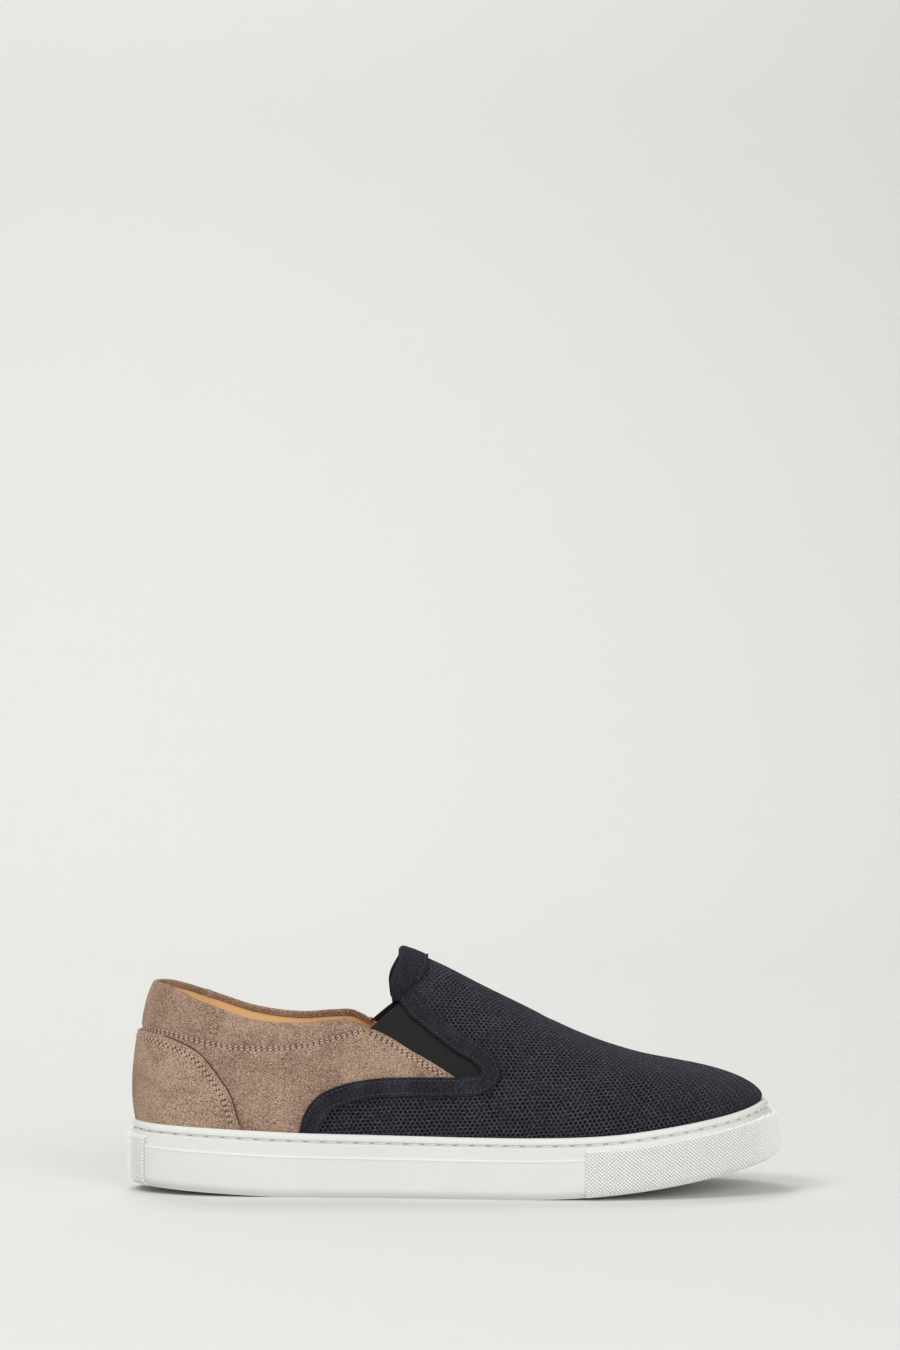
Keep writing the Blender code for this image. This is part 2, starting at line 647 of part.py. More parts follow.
def build_upper(columns):
    """One hollow wall: quarters open along the topline, vamp closed over the ridge,
    and open underneath, where its edge stands in the cup."""
    tongue = tongue_column()
    turn = int(np.argmin(np.abs(columns - tongue)))
    final = len(columns) - 1
    tail = len(TAIL_ROWS)
    outer, inner, index = [], [], {}
    crown = tail + WALL_ROWS + CROWN_ROWS
    for side in (-1, 1):
        edge_climb = float(topline_climb(side * tongue))
        for i, away in enumerate(columns):
            at = side * away
            top = float(topline_climb(at)) if i < turn else edge_climb
            climbs = list(np.linspace(0, top, WALL_ROWS + 1))
            if i >= turn:
                climbs += list(np.linspace(top, math.pi / 2, CROWN_ROWS + 1))[1:]
            for j in range(tail + len(climbs)):
                shared = i in (0, final) or j == crown
                key = (0 if shared else side, i, j)
                if key in index:
                    continue
                index[key] = len(outer)
                if j < tail:
                    for face, depth in ((outer, 0.0), (inner, UPPER_WALL)):
                        x, y = edge(at, tail_inset(at, TAIL_ROWS[j]) + depth)
                        foot_x, _ = edge(at, tail_inset(at, TAIL_ROWS[j]))
                        face.append((x, y, tail_height(foot_x, TAIL_ROWS[j], CLEARANCE)))
                else:
                    outer.append(on_last(at, climbs[j - tail], 0.0))
                    inner.append(on_last(at, climbs[j - tail], -UPPER_WALL))

    def corner(side, i, j):
        return index[(0 if i in (0, final) or j == crown else side, i, j)]

    quads = []
    for side in (-1, 1):
        for i in range(final):
            for j in range(crown if i >= turn else tail + WALL_ROWS):
                near, far = (i, i + 1), (j, j + 1)
                quad = [corner(side, near[a], far[b]) for a, b in ((0, 0), (1, 0), (1, 1), (0, 1))]
                quad = list(dict.fromkeys(quad))
                quads.append(quad if side < 0 else quad[::-1])
    made = thicken("upper", np.array(outer), np.array(inner), quads, "taupe_suede", SUEDE_TAUPE)
    for side, name in ((-1, "outer"), (1, "inner")):
        cutter = sheet(f"gore_cutter_{name}", gore_grid(side, 0.0), -3 * UPPER_WALL, 2 * UPPER_WALL,
                       "taupe_suede", SUEDE_TAUPE)
        cut(made, cutter)
    return made


def gore_grid(side, inset):
    """The elastic's wedge between quarter and vamp, as rows from the free edge down.
    With no inset it also reaches well above the topline, to cut the notch."""
    back = resample(seen_at(side, GORE_BACK), GORE_GRID[0])
    front = resample(seen_at(side, GORE_FRONT), GORE_GRID[0])
    parts = np.linspace(0, 1, GORE_GRID[1])
    grid = np.stack([back + (front - back) * part for part in parts], axis=1)
    if not inset:
        above = grid[:1] + NOTCH_RISE * (grid[:1] - grid[2:3]) * (0, 1) + (grid[:1] - grid[1:2]) * (1, 0)
        return np.concatenate([above, grid])
    return shrink(grid, inset)


def shrink(grid, inset):
    """The same grid with its border moved in by this distance on the upper."""
    places = last(grid[..., 0], grid[..., 1])
    rows, columns = grid.shape[:2]
    tall = np.linalg.norm(np.diff(places, axis=0), axis=-1).sum(axis=0).mean()
    wide = np.linalg.norm(np.diff(places, axis=1), axis=-1).sum(axis=1).min()
    down = np.clip(np.linspace(0, 1, rows), inset / tall, 1 - inset / tall)
    over = np.clip(np.linspace(0, 1, columns), inset / wide, 1 - inset / wide)
    down, over = down * (rows - 1), over * (columns - 1)
    i = np.minimum(down.astype(int), rows - 2)
    j = np.minimum(over.astype(int), columns - 2)
    a, b = (down - i)[:, None, None], (over - j)[None, :, None]
    upper_row = grid[i][:, j] * (1 - b) + grid[i][:, j + 1] * b
    lower_row = grid[i + 1][:, j] * (1 - b) + grid[i + 1][:, j + 1] * b
    return upper_row * (1 - a) + lower_row * a


def build_gore(side, name):
    low = -GORE_DEPTH - GORE_THICKNESS
    return sheet(name, gore_grid(side, CLEARANCE), low, -GORE_DEPTH, "black_elastic", ELASTIC_BLACK)


def build_counter():
    """The stiff overlay round the heel, standing on the sole's lip."""
    outer_path, inner_path = seen_at(-1, COUNTER_EDGE), seen_at(1, COUNTER_EDGE)
    apex = (outer_path[0, 1] + inner_path[0, 1]) / 2
    edge_line = resample(np.vstack([outer_path[::-1], [(0.0, apex)], inner_path]), COUNTER_GRID[1])
    foot = foot_climb(edge_line[:, 0])
    rows = [np.column_stack([edge_line[:, 0], foot + (edge_line[:, 1] - foot) * part])
            for part in np.linspace(0, 1, COUNTER_GRID[0])]
    return sheet("heel_counter", np.array(rows), CLEARANCE, CLEARANCE + COUNTER_THICKNESS,
                 "taupe_suede", SUEDE_TAUPE)


def ribbon(path, width, across):
    """A strip of this width along a path on the upper, as a grid."""
    places = last(path[:, 0], path[:, 1])
    along = np.gradient(places, axis=0)
    sideways = np.cross(facing(path[:, 0], path[:, 1]), along)
    sideways /= np.linalg.norm(sideways, axis=1)[:, None]
    columns = []
    for part in np.linspace(-0.5, 0.5, across):
        target = places + sideways * width * part
        guess = path.copy()
        for _ in range(12):
            here = last(guess[:, 0], guess[:, 1])
            by_round = (last(guess[:, 0] + SOLVER_STEP, guess[:, 1]) - here) / SOLVER_STEP
            by_climb = (last(guess[:, 0], guess[:, 1] + SOLVER_STEP) - here) / SOLVER_STEP
            for k in range(len(guess)):
                frame = np.column_stack([by_round[k], by_climb[k]])
                guess[k] += np.linalg.lstsq(frame, target[k] - here[k], rcond=None)[0]
        columns.append(guess)
    return np.stack(columns, axis=1)


def build_band(side, name):
    """The plain suede band round the vamp's edge, from the lip forwards, round its
    nose and up along the elastic."""
    path = resample(seen_at(side, BAND_PATH), BAND_GRID[0])
    return sheet(name, ribbon(path, BAND_WIDTH, BAND_GRID[1]), CLEARANCE, CLEARANCE + BAND_THICKNESS,
                 "navy_suede", SUEDE_NAVY)


def build_tongue_band():
    """The band over the tongue's top edge, from one side band to the other."""
    tongue = tongue_column()
    ridge = last(np.array([tongue, tongue + ROUND_STEP]), math.pi / 2)
    wide = TONGUE_BAND_WIDTH * ROUND_STEP / (ridge[1, 0] - ridge[0, 0])
    rows = []
    for part in np.linspace(0, 1, TONGUE_BAND_GRID[0]):
        away = tongue + wide * part
        height = INSTEP_HEIGHT * np.interp(part, (0, 1), TONGUE_BAND_SHARES)
        low = float(climb_to(-away, lambda x: height))
        high = math.pi - float(climb_to(away, lambda x: height))
        rows.append([(-away, climb) for climb in np.linspace(low, high, TONGUE_BAND_GRID[1])])
    return sheet("tongue_band", np.array(rows), CLEARANCE, CLEARANCE + BAND_THICKNESS,
                 "navy_suede", SUEDE_NAVY)


def main():
    for old in list(bpy.data.objects):
        bpy.data.objects.remove(old)
    columns = side_columns()
    build_sole(columns)
    build_insole(columns)
    build_upper(columns)
    build_gore(-1, "gore_outer")
    build_gore(1, "gore_inner")
    build_counter()
    build_band(-1, "vamp_band_outer")
    build_band(1, "vamp_band_inner")
    build_tongue_band()


main()
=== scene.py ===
"""A right-foot suede slip-on shoe on a white rubber cupsole, standing empty on its sole.

Toe at +X, top at +Z, outer side of the foot at -Y. Sizes are in metres.
"""
import math

import bmesh
import bpy
import numpy as np
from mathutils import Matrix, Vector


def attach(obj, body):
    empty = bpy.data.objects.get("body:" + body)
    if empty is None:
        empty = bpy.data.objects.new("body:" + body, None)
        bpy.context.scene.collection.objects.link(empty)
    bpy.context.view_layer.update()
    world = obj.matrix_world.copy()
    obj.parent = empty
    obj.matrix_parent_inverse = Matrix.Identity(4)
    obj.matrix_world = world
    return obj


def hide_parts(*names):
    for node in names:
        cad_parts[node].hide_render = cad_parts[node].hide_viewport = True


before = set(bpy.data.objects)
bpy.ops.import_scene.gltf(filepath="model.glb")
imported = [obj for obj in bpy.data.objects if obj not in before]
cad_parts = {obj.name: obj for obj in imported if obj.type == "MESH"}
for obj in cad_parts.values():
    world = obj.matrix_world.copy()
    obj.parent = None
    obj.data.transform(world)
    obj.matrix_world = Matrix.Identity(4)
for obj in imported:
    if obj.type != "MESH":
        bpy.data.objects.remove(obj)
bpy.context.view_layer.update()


# The place: a seamless sweep of pale paper, a soft key light from the upper left, a
# large fill beside the camera, and the camera itself, level and 2.1 m from the shoe.
SENSOR_WIDTH = 36.0
FRAME_HEIGHT_PIXELS = 1350
FOCAL_PIXELS = 4522  # worked out from the two rims of the collar
CAMERA_PLACE = (-0.0026, -2.081, 0.236)
PAPER_COLOUR, PAPER_GRAIN = (0.730, 0.735, 0.711), (0.695, 0.70, 0.676)
SWEEP_START = 1.6  # where the paper starts to curve up, behind the shoe
SWEEP_RADIUS = 0.8
PAPER_REACH = 6.0
STUDIO_COLOUR, STUDIO_STRENGTH = (0.95, 0.95, 0.94, 1), 0.50
# Lights: name, place, where it points, size, power and colour.
LIGHTS = (
    ("key", (-1.15, -0.8, 1.85), (0, 0, 0.04), 1.0, 19, (1.0, 0.985, 0.96)),
    ("fill", (1.0, -2.3, 1.0), (0, 0, 0.04), 1.6, 25, (1.0, 0.99, 0.985)),
    ("wall", (-0.4, 1.5, 2.3), (-0.4, 1.5, 0.0), 1.2, 23, (1.0, 1.0, 1.0)),
)


class Value:
    """A socket of a node. Sums on it add Math nodes."""

    def __init__(self, paint, socket):
        self.paint, self.socket = paint, socket

    def __add__(self, other):
        return self.paint.maths("ADD", self, other)

    def __sub__(self, other):
        return self.paint.maths("SUBTRACT", self, other)

    def __rsub__(self, other):
        return self.paint.maths("SUBTRACT", other, self)

    def __mul__(self, other):
        return self.paint.maths("MULTIPLY", self, other)

    __radd__ = __add__
    __rmul__ = __mul__


class Paint:
    """A material. What is the same all over is set on the shader's own sockets."""

    def __init__(self, name, **constants):
        self.material = bpy.data.materials.new(name)
        self.material.use_nodes = True
        self.tree = self.material.node_tree
        self.shader = self.tree.nodes["Principled BSDF"]
        for socket, value in constants.items():
            self.shader.inputs[socket.replace("_", " ")].default_value = value

    def node(self, kind, settings, sockets, output=0):
        """Adds a node, with its settings first and then its sockets' values or links."""
        made = self.tree.nodes.new(kind)
        for name, value in settings.items():
            setattr(made, name, value)
        for socket, value in sockets.items():
            if isinstance(value, Value):
                self.tree.links.new(value.socket, made.inputs[socket])
            else:
                made.inputs[socket].default_value = value
        return Value(self, made.outputs[output])

    def maths(self, operation, *values):
        return self.node("ShaderNodeMath", {"operation": operation}, dict(enumerate(values)))

    def place(self):
        return self.node("ShaderNodeTexCoord", {}, {}, "Object")

    def part(self, vector, axis):
        return self.node("ShaderNodeSeparateXYZ", {}, {"Vector": vector}, axis)

    def read(self, attribute, output):
        """A value that the mesh carries at its corners."""
        return self.node("ShaderNodeAttribute", {"attribute_name": attribute}, {}, output)

    def noise(self, size, detail=2.0, roughness=0.5, where=None, distortion=0.0):
        """Noise whose lumps are about this size, in metres."""
        sockets = {"Vector": where or self.place(), "Scale": 1 / size, "Detail": detail,
                   "Roughness": roughness, "Distortion": distortion}
        return self.node("ShaderNodeTexNoise", {}, sockets)

    def step(self, low, high, value):
        sockets = {"Value": value, "From Min": low, "From Max": high}
        return self.node("ShaderNodeMapRange", {"interpolation_type": "SMOOTHSTEP"}, sockets)

    def mix(self, mask, low, high):
        """A colour between two."""
        ends = [end if isinstance(end, Value) else (*end, 1) for end in (low, high)]
        return self.node("ShaderNodeMix", {"data_type": "RGBA"}, {0: mask, 6: ends[0], 7: ends[1]}, 2)

    def bump(self, height, distance, strength=1.0):
        sockets = {"Height": height, "Distance": distance, "Strength": strength}
        return self.node("ShaderNodeBump", {}, sockets)

    def wear(self, **links):
        """Links what varies over the surface to the shader."""
        for socket, value in links.items():
            self.tree.links.new(value.socket, self.shader.inputs[socket.replace("_", " ")])
        return self.material


def mesh_object(name, points, faces, material):
    mesh = bpy.data.meshes.new(name)
    faces = faces.tolist() if isinstance(faces, np.ndarray) else faces
    mesh.from_pydata(np.asarray(points, float).reshape(-1, 3).tolist(), [], faces)
    mesh.shade_smooth()
    mesh.materials.append(material)
    made = bpy.data.objects.new(name, mesh)
    bpy.context.scene.collection.objects.link(made)
    return made


def grid_faces(rows, columns, closed=False):
    """Quads over points that lie row by row. closed joins the last column to the first."""
    i, j = np.meshgrid(np.arange(rows - 1), np.arange(columns if closed else columns - 1), indexing="ij")
    right = (j + 1) % columns
    corners = [i * columns + j, i * columns + right, (i + 1) * columns + right, (i + 1) * columns + j]
    return np.stack(corners, axis=-1).reshape(-1, 4)


def area_light(name, place, target, size, power, colour):
    light = bpy.data.lights.new(name, "AREA")
    light.shape, light.size, light.energy, light.color = "DISK", size, power, colour
    made = bpy.data.objects.new(name, light)
    made.location = place
    way = Vector(target) - Vector(place)
    made.rotation_euler = way.to_track_quat("-Z", "Y").to_euler()
    bpy.context.scene.collection.objects.link(made)


def build_place():
    turns = np.linspace(0, math.pi / 2, 24)
    depth = [-PAPER_REACH, *(SWEEP_START + SWEEP_RADIUS * np.sin(turns)), SWEEP_START + SWEEP_RADIUS]
    height = [0.0, *(SWEEP_RADIUS * (1 - np.cos(turns))), 5.0]
    points = [[(x, y, z) for x in (-PAPER_REACH, PAPER_REACH)] for y, z in zip(depth, height)]
    paper = Paint("pale_paper", Roughness=0.9)
    grain = paper.noise(0.004, 3.0)
    paper.wear(Base_Color=paper.mix(grain * 0.1, PAPER_COLOUR, PAPER_GRAIN),
               Normal=paper.bump(grain, 0.0001, 0.2))
    floor = mesh_object("paper_sweep", points, grid_faces(len(depth), 2), paper.material)

    camera = bpy.data.cameras.new("camera")
    camera.sensor_width = SENSOR_WIDTH
    camera.lens = SENSOR_WIDTH * FOCAL_PIXELS / FRAME_HEIGHT_PIXELS
    camera.clip_start, camera.clip_end = 0.05, 30.0
    stand = bpy.data.objects.new("camera", camera)
    stand.location = CAMERA_PLACE
    stand.rotation_euler = (math.pi / 2, 0, 0)
    bpy.context.scene.collection.objects.link(stand)
    bpy.context.scene.camera = stand

    for light in LIGHTS:
        area_light(*light)
    world = bpy.data.worlds.new("studio")
    world.use_nodes = True
    world.node_tree.nodes["Background"].inputs["Color"].default_value = STUDIO_COLOUR
    world.node_tree.nodes["Background"].inputs["Strength"].default_value = STUDIO_STRENGTH
    bpy.context.scene.world = world
    bpy.context.scene.view_settings.view_transform = "Standard"


build_place()


# The cupsole: one white rubber moulding, a little soft and matt. Its side wall has a
# ledge, a stitched channel under the lip, and knurled patches round the toe and heel.
LENGTH = 0.300  # outline, heel to toe
BALL_WIDTH = 0.106
INSTEP_HEIGHT = 0.1115
HEEL_HEIGHT = 0.096  # of the collar at the heel
SOLE_HEIGHT = 0.0277  # floor to the lip at the waist
TOE_SPRING = 0.0165
HEEL_ROCKER = 0.0040
SPRING_SHARE, SPRING_POWER = 0.600, 1.88
ROCKER_SHARE, ROCKER_POWER = 0.235, 1.2
SIDE_MARGIN = 0.0042  # outline to the upper along the sides
TOE_MARGIN = 0.0093
MARGIN_SHARE, MARGIN_POWER = 0.70, 1.5
CUP_TUCK = 0.0030
CLEARANCE = 0.0003
RIM_RADIUS = 0.0030
LIP_LAND = 0.0012
PATCH_STEP = 0.0006
SIDE_STEP = 0.0006
LEDGE_BEAD = 0.00022  # raised line along the ledge
SEAM_GROOVE = 0.0014
TOE_PATCH, HEEL_PATCH, PATCH_EDGE = 0.654, 0.064, 0.0015
PATCH_RISE = 0.0008  # how far the patches stand out over the outline
# Shares of the wall's height: where the patches end, the ledge and the stitch channel
# lie, and how much of the height each step, rounding and channel takes.
PATCH_SHARE, LEDGE_SHARE, GROOVE_SHARE = 0.785, 0.640, 0.872
STEP_HALF, GROOVE_HALF, GROOVE_POWER = 0.012, 0.028, 0.8
BEAD_DROP, BEAD_HALF = 0.018, 0.014
TREAD_ROUND, LIP_ROUND, LIP_ROUND_DEPTH, ROUND_POWER = 0.16, 0.07, 0.35, 2.4
PATCH_TREAD_ROUND = 0.6  # the patches are less rounded toward the tread
KNURL_PITCH = (0.00176, 0.00158)  # along the wall and up it
KNURL_DEPTH = 0.00050
KNURL_EDGE = 0.02  # plain strip at the top of a patch, as a share of the wall's height
TOE_KNURL_TOP, HEEL_KNURL_TOP = 0.60, 0.24  # flat tops as shares of the feet
SOLE_STITCH_PITCH = 0.0075
SOLE_THREAD = 0.00050  # radius
FLEX_GROOVE_WIDTH, FLEX_GROOVE_DEPTH, FLEX_GROOVE_PITCH = 0.0024, 0.0016, 0.0110
TREAD_RIM = 0.0110
FLEX_GROOVES = ((0.600, 7), (0.120, 5))  # share of the length of the first, how many
TREAD_RIB, TREAD_WAVE, TREAD_SWING = 2600.0, 1400.0, 0.0006  # wavy ribs: radians a metre, swing
RUBBER_COLOUR, RUBBER_CLOUD = (0.785, 0.795, 0.768), (0.71, 0.714, 0.70)
# Knurl colours: the flat tops painted lighter than the rubber as a painted highlight, and the grooves
# painted dark as painted shade.
KNURL_LIT_TOP, KNURL_GROOVE_SHADE = (0.98, 0.985, 0.955), (0.34, 0.345, 0.33)
# Painted shade in the stitch channel: dark dashes where the thread dips into its holes.
SOLE_HOLE_SHADE_DARK, SOLE_HOLE_SHADE_LIGHT = (0.36, 0.36, 0.34), (0.50, 0.50, 0.48)
# Rows of the wall's mesh, closer at its steps: first and last share, how many.
WALL_ROWS = (
    (0, 0.16, 9),
    (0.2, 0.58, 8),
    (0.6, 0.66, 13),
    (0.69, 0.76, 3),
    (0.77, 0.80, 6),
    (0.835, 0.909, 15),
    (0.92, 1.0, 10),
)
WALL_STEP = 0.00075  # round the outline

# Outline: share of the length, distance to the outer and inner side as shares of the
# ball width.
OUTLINE = (
    (0.033, 0.222, 0.222),
    (0.083, 0.311, 0.307),
    (0.150, 0.354, 0.346),
    (0.233, 0.372, 0.354),
    (0.333, 0.386, 0.342),
    (0.433, 0.414, 0.336),
    (0.533, 0.455, 0.366),
    (0.617, 0.486, 0.424),
    (0.683, 0.498, 0.474),
    (0.750, 0.488, 0.502),
    (0.817, 0.452, 0.502),
    (0.873, 0.395, 0.472),
    (0.927, 0.305, 0.412),
    (0.967, 0.192, 0.325),
    (0.990, 0.060, 0.215),
)
TOE_APEX = 0.085
# The lip and the cup's floor: share of the length, height as a share of the sole's.
LIP = (
    (0.010, 1.166),
    (0.127, 1.112),
    (0.267, 1.043),
    (0.400, 1.014),
    (0.517, 0.998),
    (0.610, 0.998),
    (0.687, 1.016),
    (0.747, 1.056),
    (0.807, 1.135),
    (0.870, 1.236),
    (0.933, 1.362),
    (0.970, 1.462),
)
CUP_FLOOR = (
    (0.010, 0.640),
    (0.130, 0.620),
    (0.300, 0.570),
    (0.500, 0.420),
    (0.667, 0.360),
    (0.800, 0.470),
    (0.900, 0.640),
    (0.970, 0.790),
)
# How the bumper leans back at the toe: share of the wall's height, share of the lean.
LEAN = (
    (0.000, 0.00),
    (0.150, 0.06),
    (0.420, 0.20),
    (0.630, 0.44),
    (0.775, 0.70),
    (0.800, 0.80),
    (0.870, 0.90),
    (1.000, 0.97),
)


def smooth(rows, column, at):
    """A column of a table at these places, by a cubic through its rows."""
    places = np.array([row[0] for row in rows])
    values = np.array([row[column] for row in rows])
    steps = np.diff(places)
    rises = np.diff(values) / steps
    inner = (rises[:-1] * steps[1:] + rises[1:] * steps[:-1]) / (steps[:-1] + steps[1:])
    slopes = np.concatenate([rises[:1], inner, rises[-1:]])
    at = np.clip(at, places[0], places[-1])
    i = np.clip(np.searchsorted(places, at) - 1, 0, len(places) - 2)
    t = (at - places[i]) / steps[i]
    start = (1 + 2 * t) * (1 - t) ** 2 * values[i] + t * (1 - t) ** 2 * steps[i] * slopes[i]
    end = t**2 * (3 - 2 * t) * values[i + 1] + t**2 * (t - 1) * steps[i] * slopes[i + 1]
    return start + end


def ease(low, high, at):
    t = np.clip((at - low) / (high - low), 0, 1)
    return t * t * (3 - 2 * t)


def share_of(x):
    return x / LENGTH + 0.5


def unit(vectors):
    return vectors / np.linalg.norm(vectors, axis=-1)[..., None]


def outline_curve(samples=2400, rounding=14, side_steps=1000):
    """The outline as dense points from the toe by the outer side, heel and inner side
    to the toe again, evenly spaced on each side."""
    outer = [(row[0], -row[1]) for row in OUTLINE]
    inner = [(row[0], row[2]) for row in OUTLINE]
    loop = np.array([(1.0, TOE_APEX)] + outer[::-1] + [(0.0, 0.0)] + inner)
    loop = (loop - (0.5, 0.0)) * (LENGTH, BALL_WIDTH)
    chords = np.linalg.norm(np.roll(loop, -1, axis=0) - loop, axis=1)
    rises = (np.roll(loop, -1, axis=0) - loop) / chords[:, None]
    before = np.roll(chords, 1)[:, None]
    slopes = (np.roll(rises, 1, axis=0) * chords[:, None] + rises * before) / (before + chords[:, None])
    starts = np.concatenate([[0], np.cumsum(chords)])
    at = np.linspace(0, starts[-1], samples, endpoint=False)
    i = np.clip(np.searchsorted(starts, at, side="right") - 1, 0, len(loop) - 1)
    j = (i + 1) % len(loop)
    t = ((at - starts[i]) / chords[i])[:, None]
    span = chords[i][:, None]
    dense = (1 + 2 * t) * (1 - t) ** 2 * loop[i] + t * (1 - t) ** 2 * span * slopes[i]
    dense += t**2 * (3 - 2 * t) * loop[j] + t**2 * (t - 1) * span * slopes[j]
    for _ in range(rounding):
        dense = (np.roll(dense, 4, axis=0) + 2 * dense + np.roll(dense, -4, axis=0)) / 4
    low, high = dense.min(axis=0), dense.max(axis=0)
    dense = (dense - (low + high) / 2) * ((LENGTH, BALL_WIDTH) / (high - low))
    dense = np.roll(dense, -np.argmax(dense[:, 0]), axis=0)
    dense = np.vstack([dense, dense[:1]])
    heel = np.argmin(dense[:, 0])
    lengths = np.concatenate([[0], np.cumsum(np.linalg.norm(np.diff(dense, axis=0), axis=1))])
    outer_part = np.linspace(0, lengths[heel], side_steps + 1)
    inner_part = np.linspace(lengths[heel], lengths[-1], side_steps + 1)[1:]
    even = np.concatenate([outer_part, inner_part])
    curve = np.column_stack([np.interp(even, lengths, dense[:, axis]) for axis in (0, 1)])
    return curve, (lengths[heel], lengths[-1] - lengths[heel])


EDGE, SIDE_LENGTHS = outline_curve()
EDGE_AT = np.linspace(-1, 1, len(EDGE))
EDGE_TANGENT = np.roll(EDGE[:-1], -1, axis=0) - np.roll(EDGE[:-1], 1, axis=0)
EDGE_TANGENT = np.vstack([EDGE_TANGENT, EDGE_TANGENT[:1]])
EDGE_INWARD = -unit(np.column_stack([-EDGE_TANGENT[:, 1], EDGE_TANGENT[:, 0]]))


def edge(round_at, inset):
    """A point in plan, this far in from the outline. round_at is 0 at the heel, -1 at
    the toe by the outer side and 1 at the toe by the inner side."""
    at = (np.asarray(round_at) + 1) % 2 - 1
    point = [np.interp(at, EDGE_AT, EDGE[:, axis]) for axis in (0, 1)]
    inward = [np.interp(at, EDGE_AT, EDGE_INWARD[:, axis]) for axis in (0, 1)]
    return point[0] + inward[0] * inset, point[1] + inward[1] * inset


def margin(round_at):
    at = np.abs((np.asarray(round_at) + 1) % 2 - 1)
    return SIDE_MARGIN + (TOE_MARGIN - SIDE_MARGIN) * ease(MARGIN_SHARE, 1.0, at) ** MARGIN_POWER


def lip_height(x):
    return smooth(LIP, 1, share_of(x)) * SOLE_HEIGHT


def floor_height(x):
    return smooth(CUP_FLOOR, 1, share_of(x)) * SOLE_HEIGHT


def underside_height(x):
    share = share_of(x)
    toe = np.clip((share - SPRING_SHARE) / (1 - SPRING_SHARE), 0, 1) ** SPRING_POWER * TOE_SPRING
    return toe + np.clip(1 - share / ROCKER_SHARE, 0, 1) ** ROCKER_POWER * HEEL_ROCKER


def on_patch(round_at, share):
    away = np.abs((round_at + 1) % 2 - 1)
    toe = ease(TOE_PATCH - PATCH_EDGE, TOE_PATCH, away)
    heel = 1 - ease(HEEL_PATCH, HEEL_PATCH + PATCH_EDGE, away)
    return np.maximum(toe, heel) * (1 - ease(PATCH_SHARE - STEP_HALF, PATCH_SHARE + STEP_HALF, share))


def wall(round_at, share, lift=0.0):
    """A point on the side wall: share is 0 at the tread and 1 at the lip's edge."""
    round_at, share = np.broadcast_arrays(np.asarray(round_at, float), np.asarray(share, float))
    patch = on_patch(round_at, share)
    at_tread = np.clip(1 - share / TREAD_ROUND, 0, 1) ** ROUND_POWER
    at_lip = np.clip((share - 1 + LIP_ROUND) / LIP_ROUND, 0, 1) ** ROUND_POWER
    rim = at_tread + LIP_ROUND_DEPTH * at_lip
    ledge = ease(LEDGE_SHARE - STEP_HALF, LEDGE_SHARE + STEP_HALF, share)
    bead = np.exp(-(((share - LEDGE_SHARE + BEAD_DROP) / BEAD_HALF) ** 2)) * LEDGE_BEAD
    groove = np.clip(np.abs(share - GROOVE_SHARE) / GROOVE_HALF, 0, 1)
    groove = np.cos(groove * math.pi / 2) ** GROOVE_POWER
    lean = (margin(round_at) - SIDE_MARGIN) * np.interp(share, *np.array(LEAN).T)
    rim = rim * (1 - (1 - PATCH_TREAD_ROUND) * patch)
    inset = rim * RIM_RADIUS + groove * SEAM_GROOVE + lean
    inset = inset + patch * (KNURL_DEPTH - PATCH_RISE)
    inset = inset + (1 - patch) * (PATCH_STEP + ledge * SIDE_STEP - bead)
    x, y = edge(round_at, np.minimum(inset, margin(round_at) - LIP_LAND) - lift)
    low = underside_height(x)
    return np.stack([x, y, low + (lip_height(x) - low) * share], axis=-1)


def both_sides(places):
    """Places from heel 0 to toe 1 as a closed loop: toe, outer side, heel, inner side."""
    return np.concatenate([-places[::-1], places[1:-1]])


def rubber(name, tread=False, grooves=False):
    paint = Paint(name, Roughness=0.55, Subsurface_Weight=0.08, Subsurface_Scale=0.004,
                  Specular_IOR_Level=0.4)
    cloud = paint.noise(0.03, 3.0)
    dust = paint.noise(0.0009, 3.0, 0.6)
    colour = paint.mix(paint.step(0.35, 0.7, cloud) * 0.25, RUBBER_COLOUR, RUBBER_CLOUD)
    height = dust * 0.4 + cloud * 0.2
    if grooves:
        # painted shade in the knurl's grooves, fading to a painted highlight on the flat tops
        low = paint.read("groove", "Fac")
        colour = paint.mix(paint.step(0.2, 1.0, low), KNURL_LIT_TOP, KNURL_GROOVE_SHADE)
    if tread:
        swing = paint.maths("SINE", paint.part(paint.place(), "Y") * TREAD_WAVE) * TREAD_SWING
        wave = swing + paint.part(paint.place(), "X")
        height = height + paint.maths("SINE", wave * TREAD_RIB) * 0.8
    return paint.wear(Base_Color=colour, Normal=paint.bump(height, 0.0002, 0.35))


def dress(made, slot, *nodes):
    """The piece moves with the shoe and stands for these nodes, whose own parts are hidden. slot is not
    used.
    """
    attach(made, "root")
    if nodes:
        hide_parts(*nodes)
    return made


def sheet(name, points, material, slot, *nodes):
    """A piece whose points lie row by row."""
    points = np.asarray(points)
    return dress(mesh_object(name, points, grid_faces(*points.shape[:2]), material), slot, *nodes)


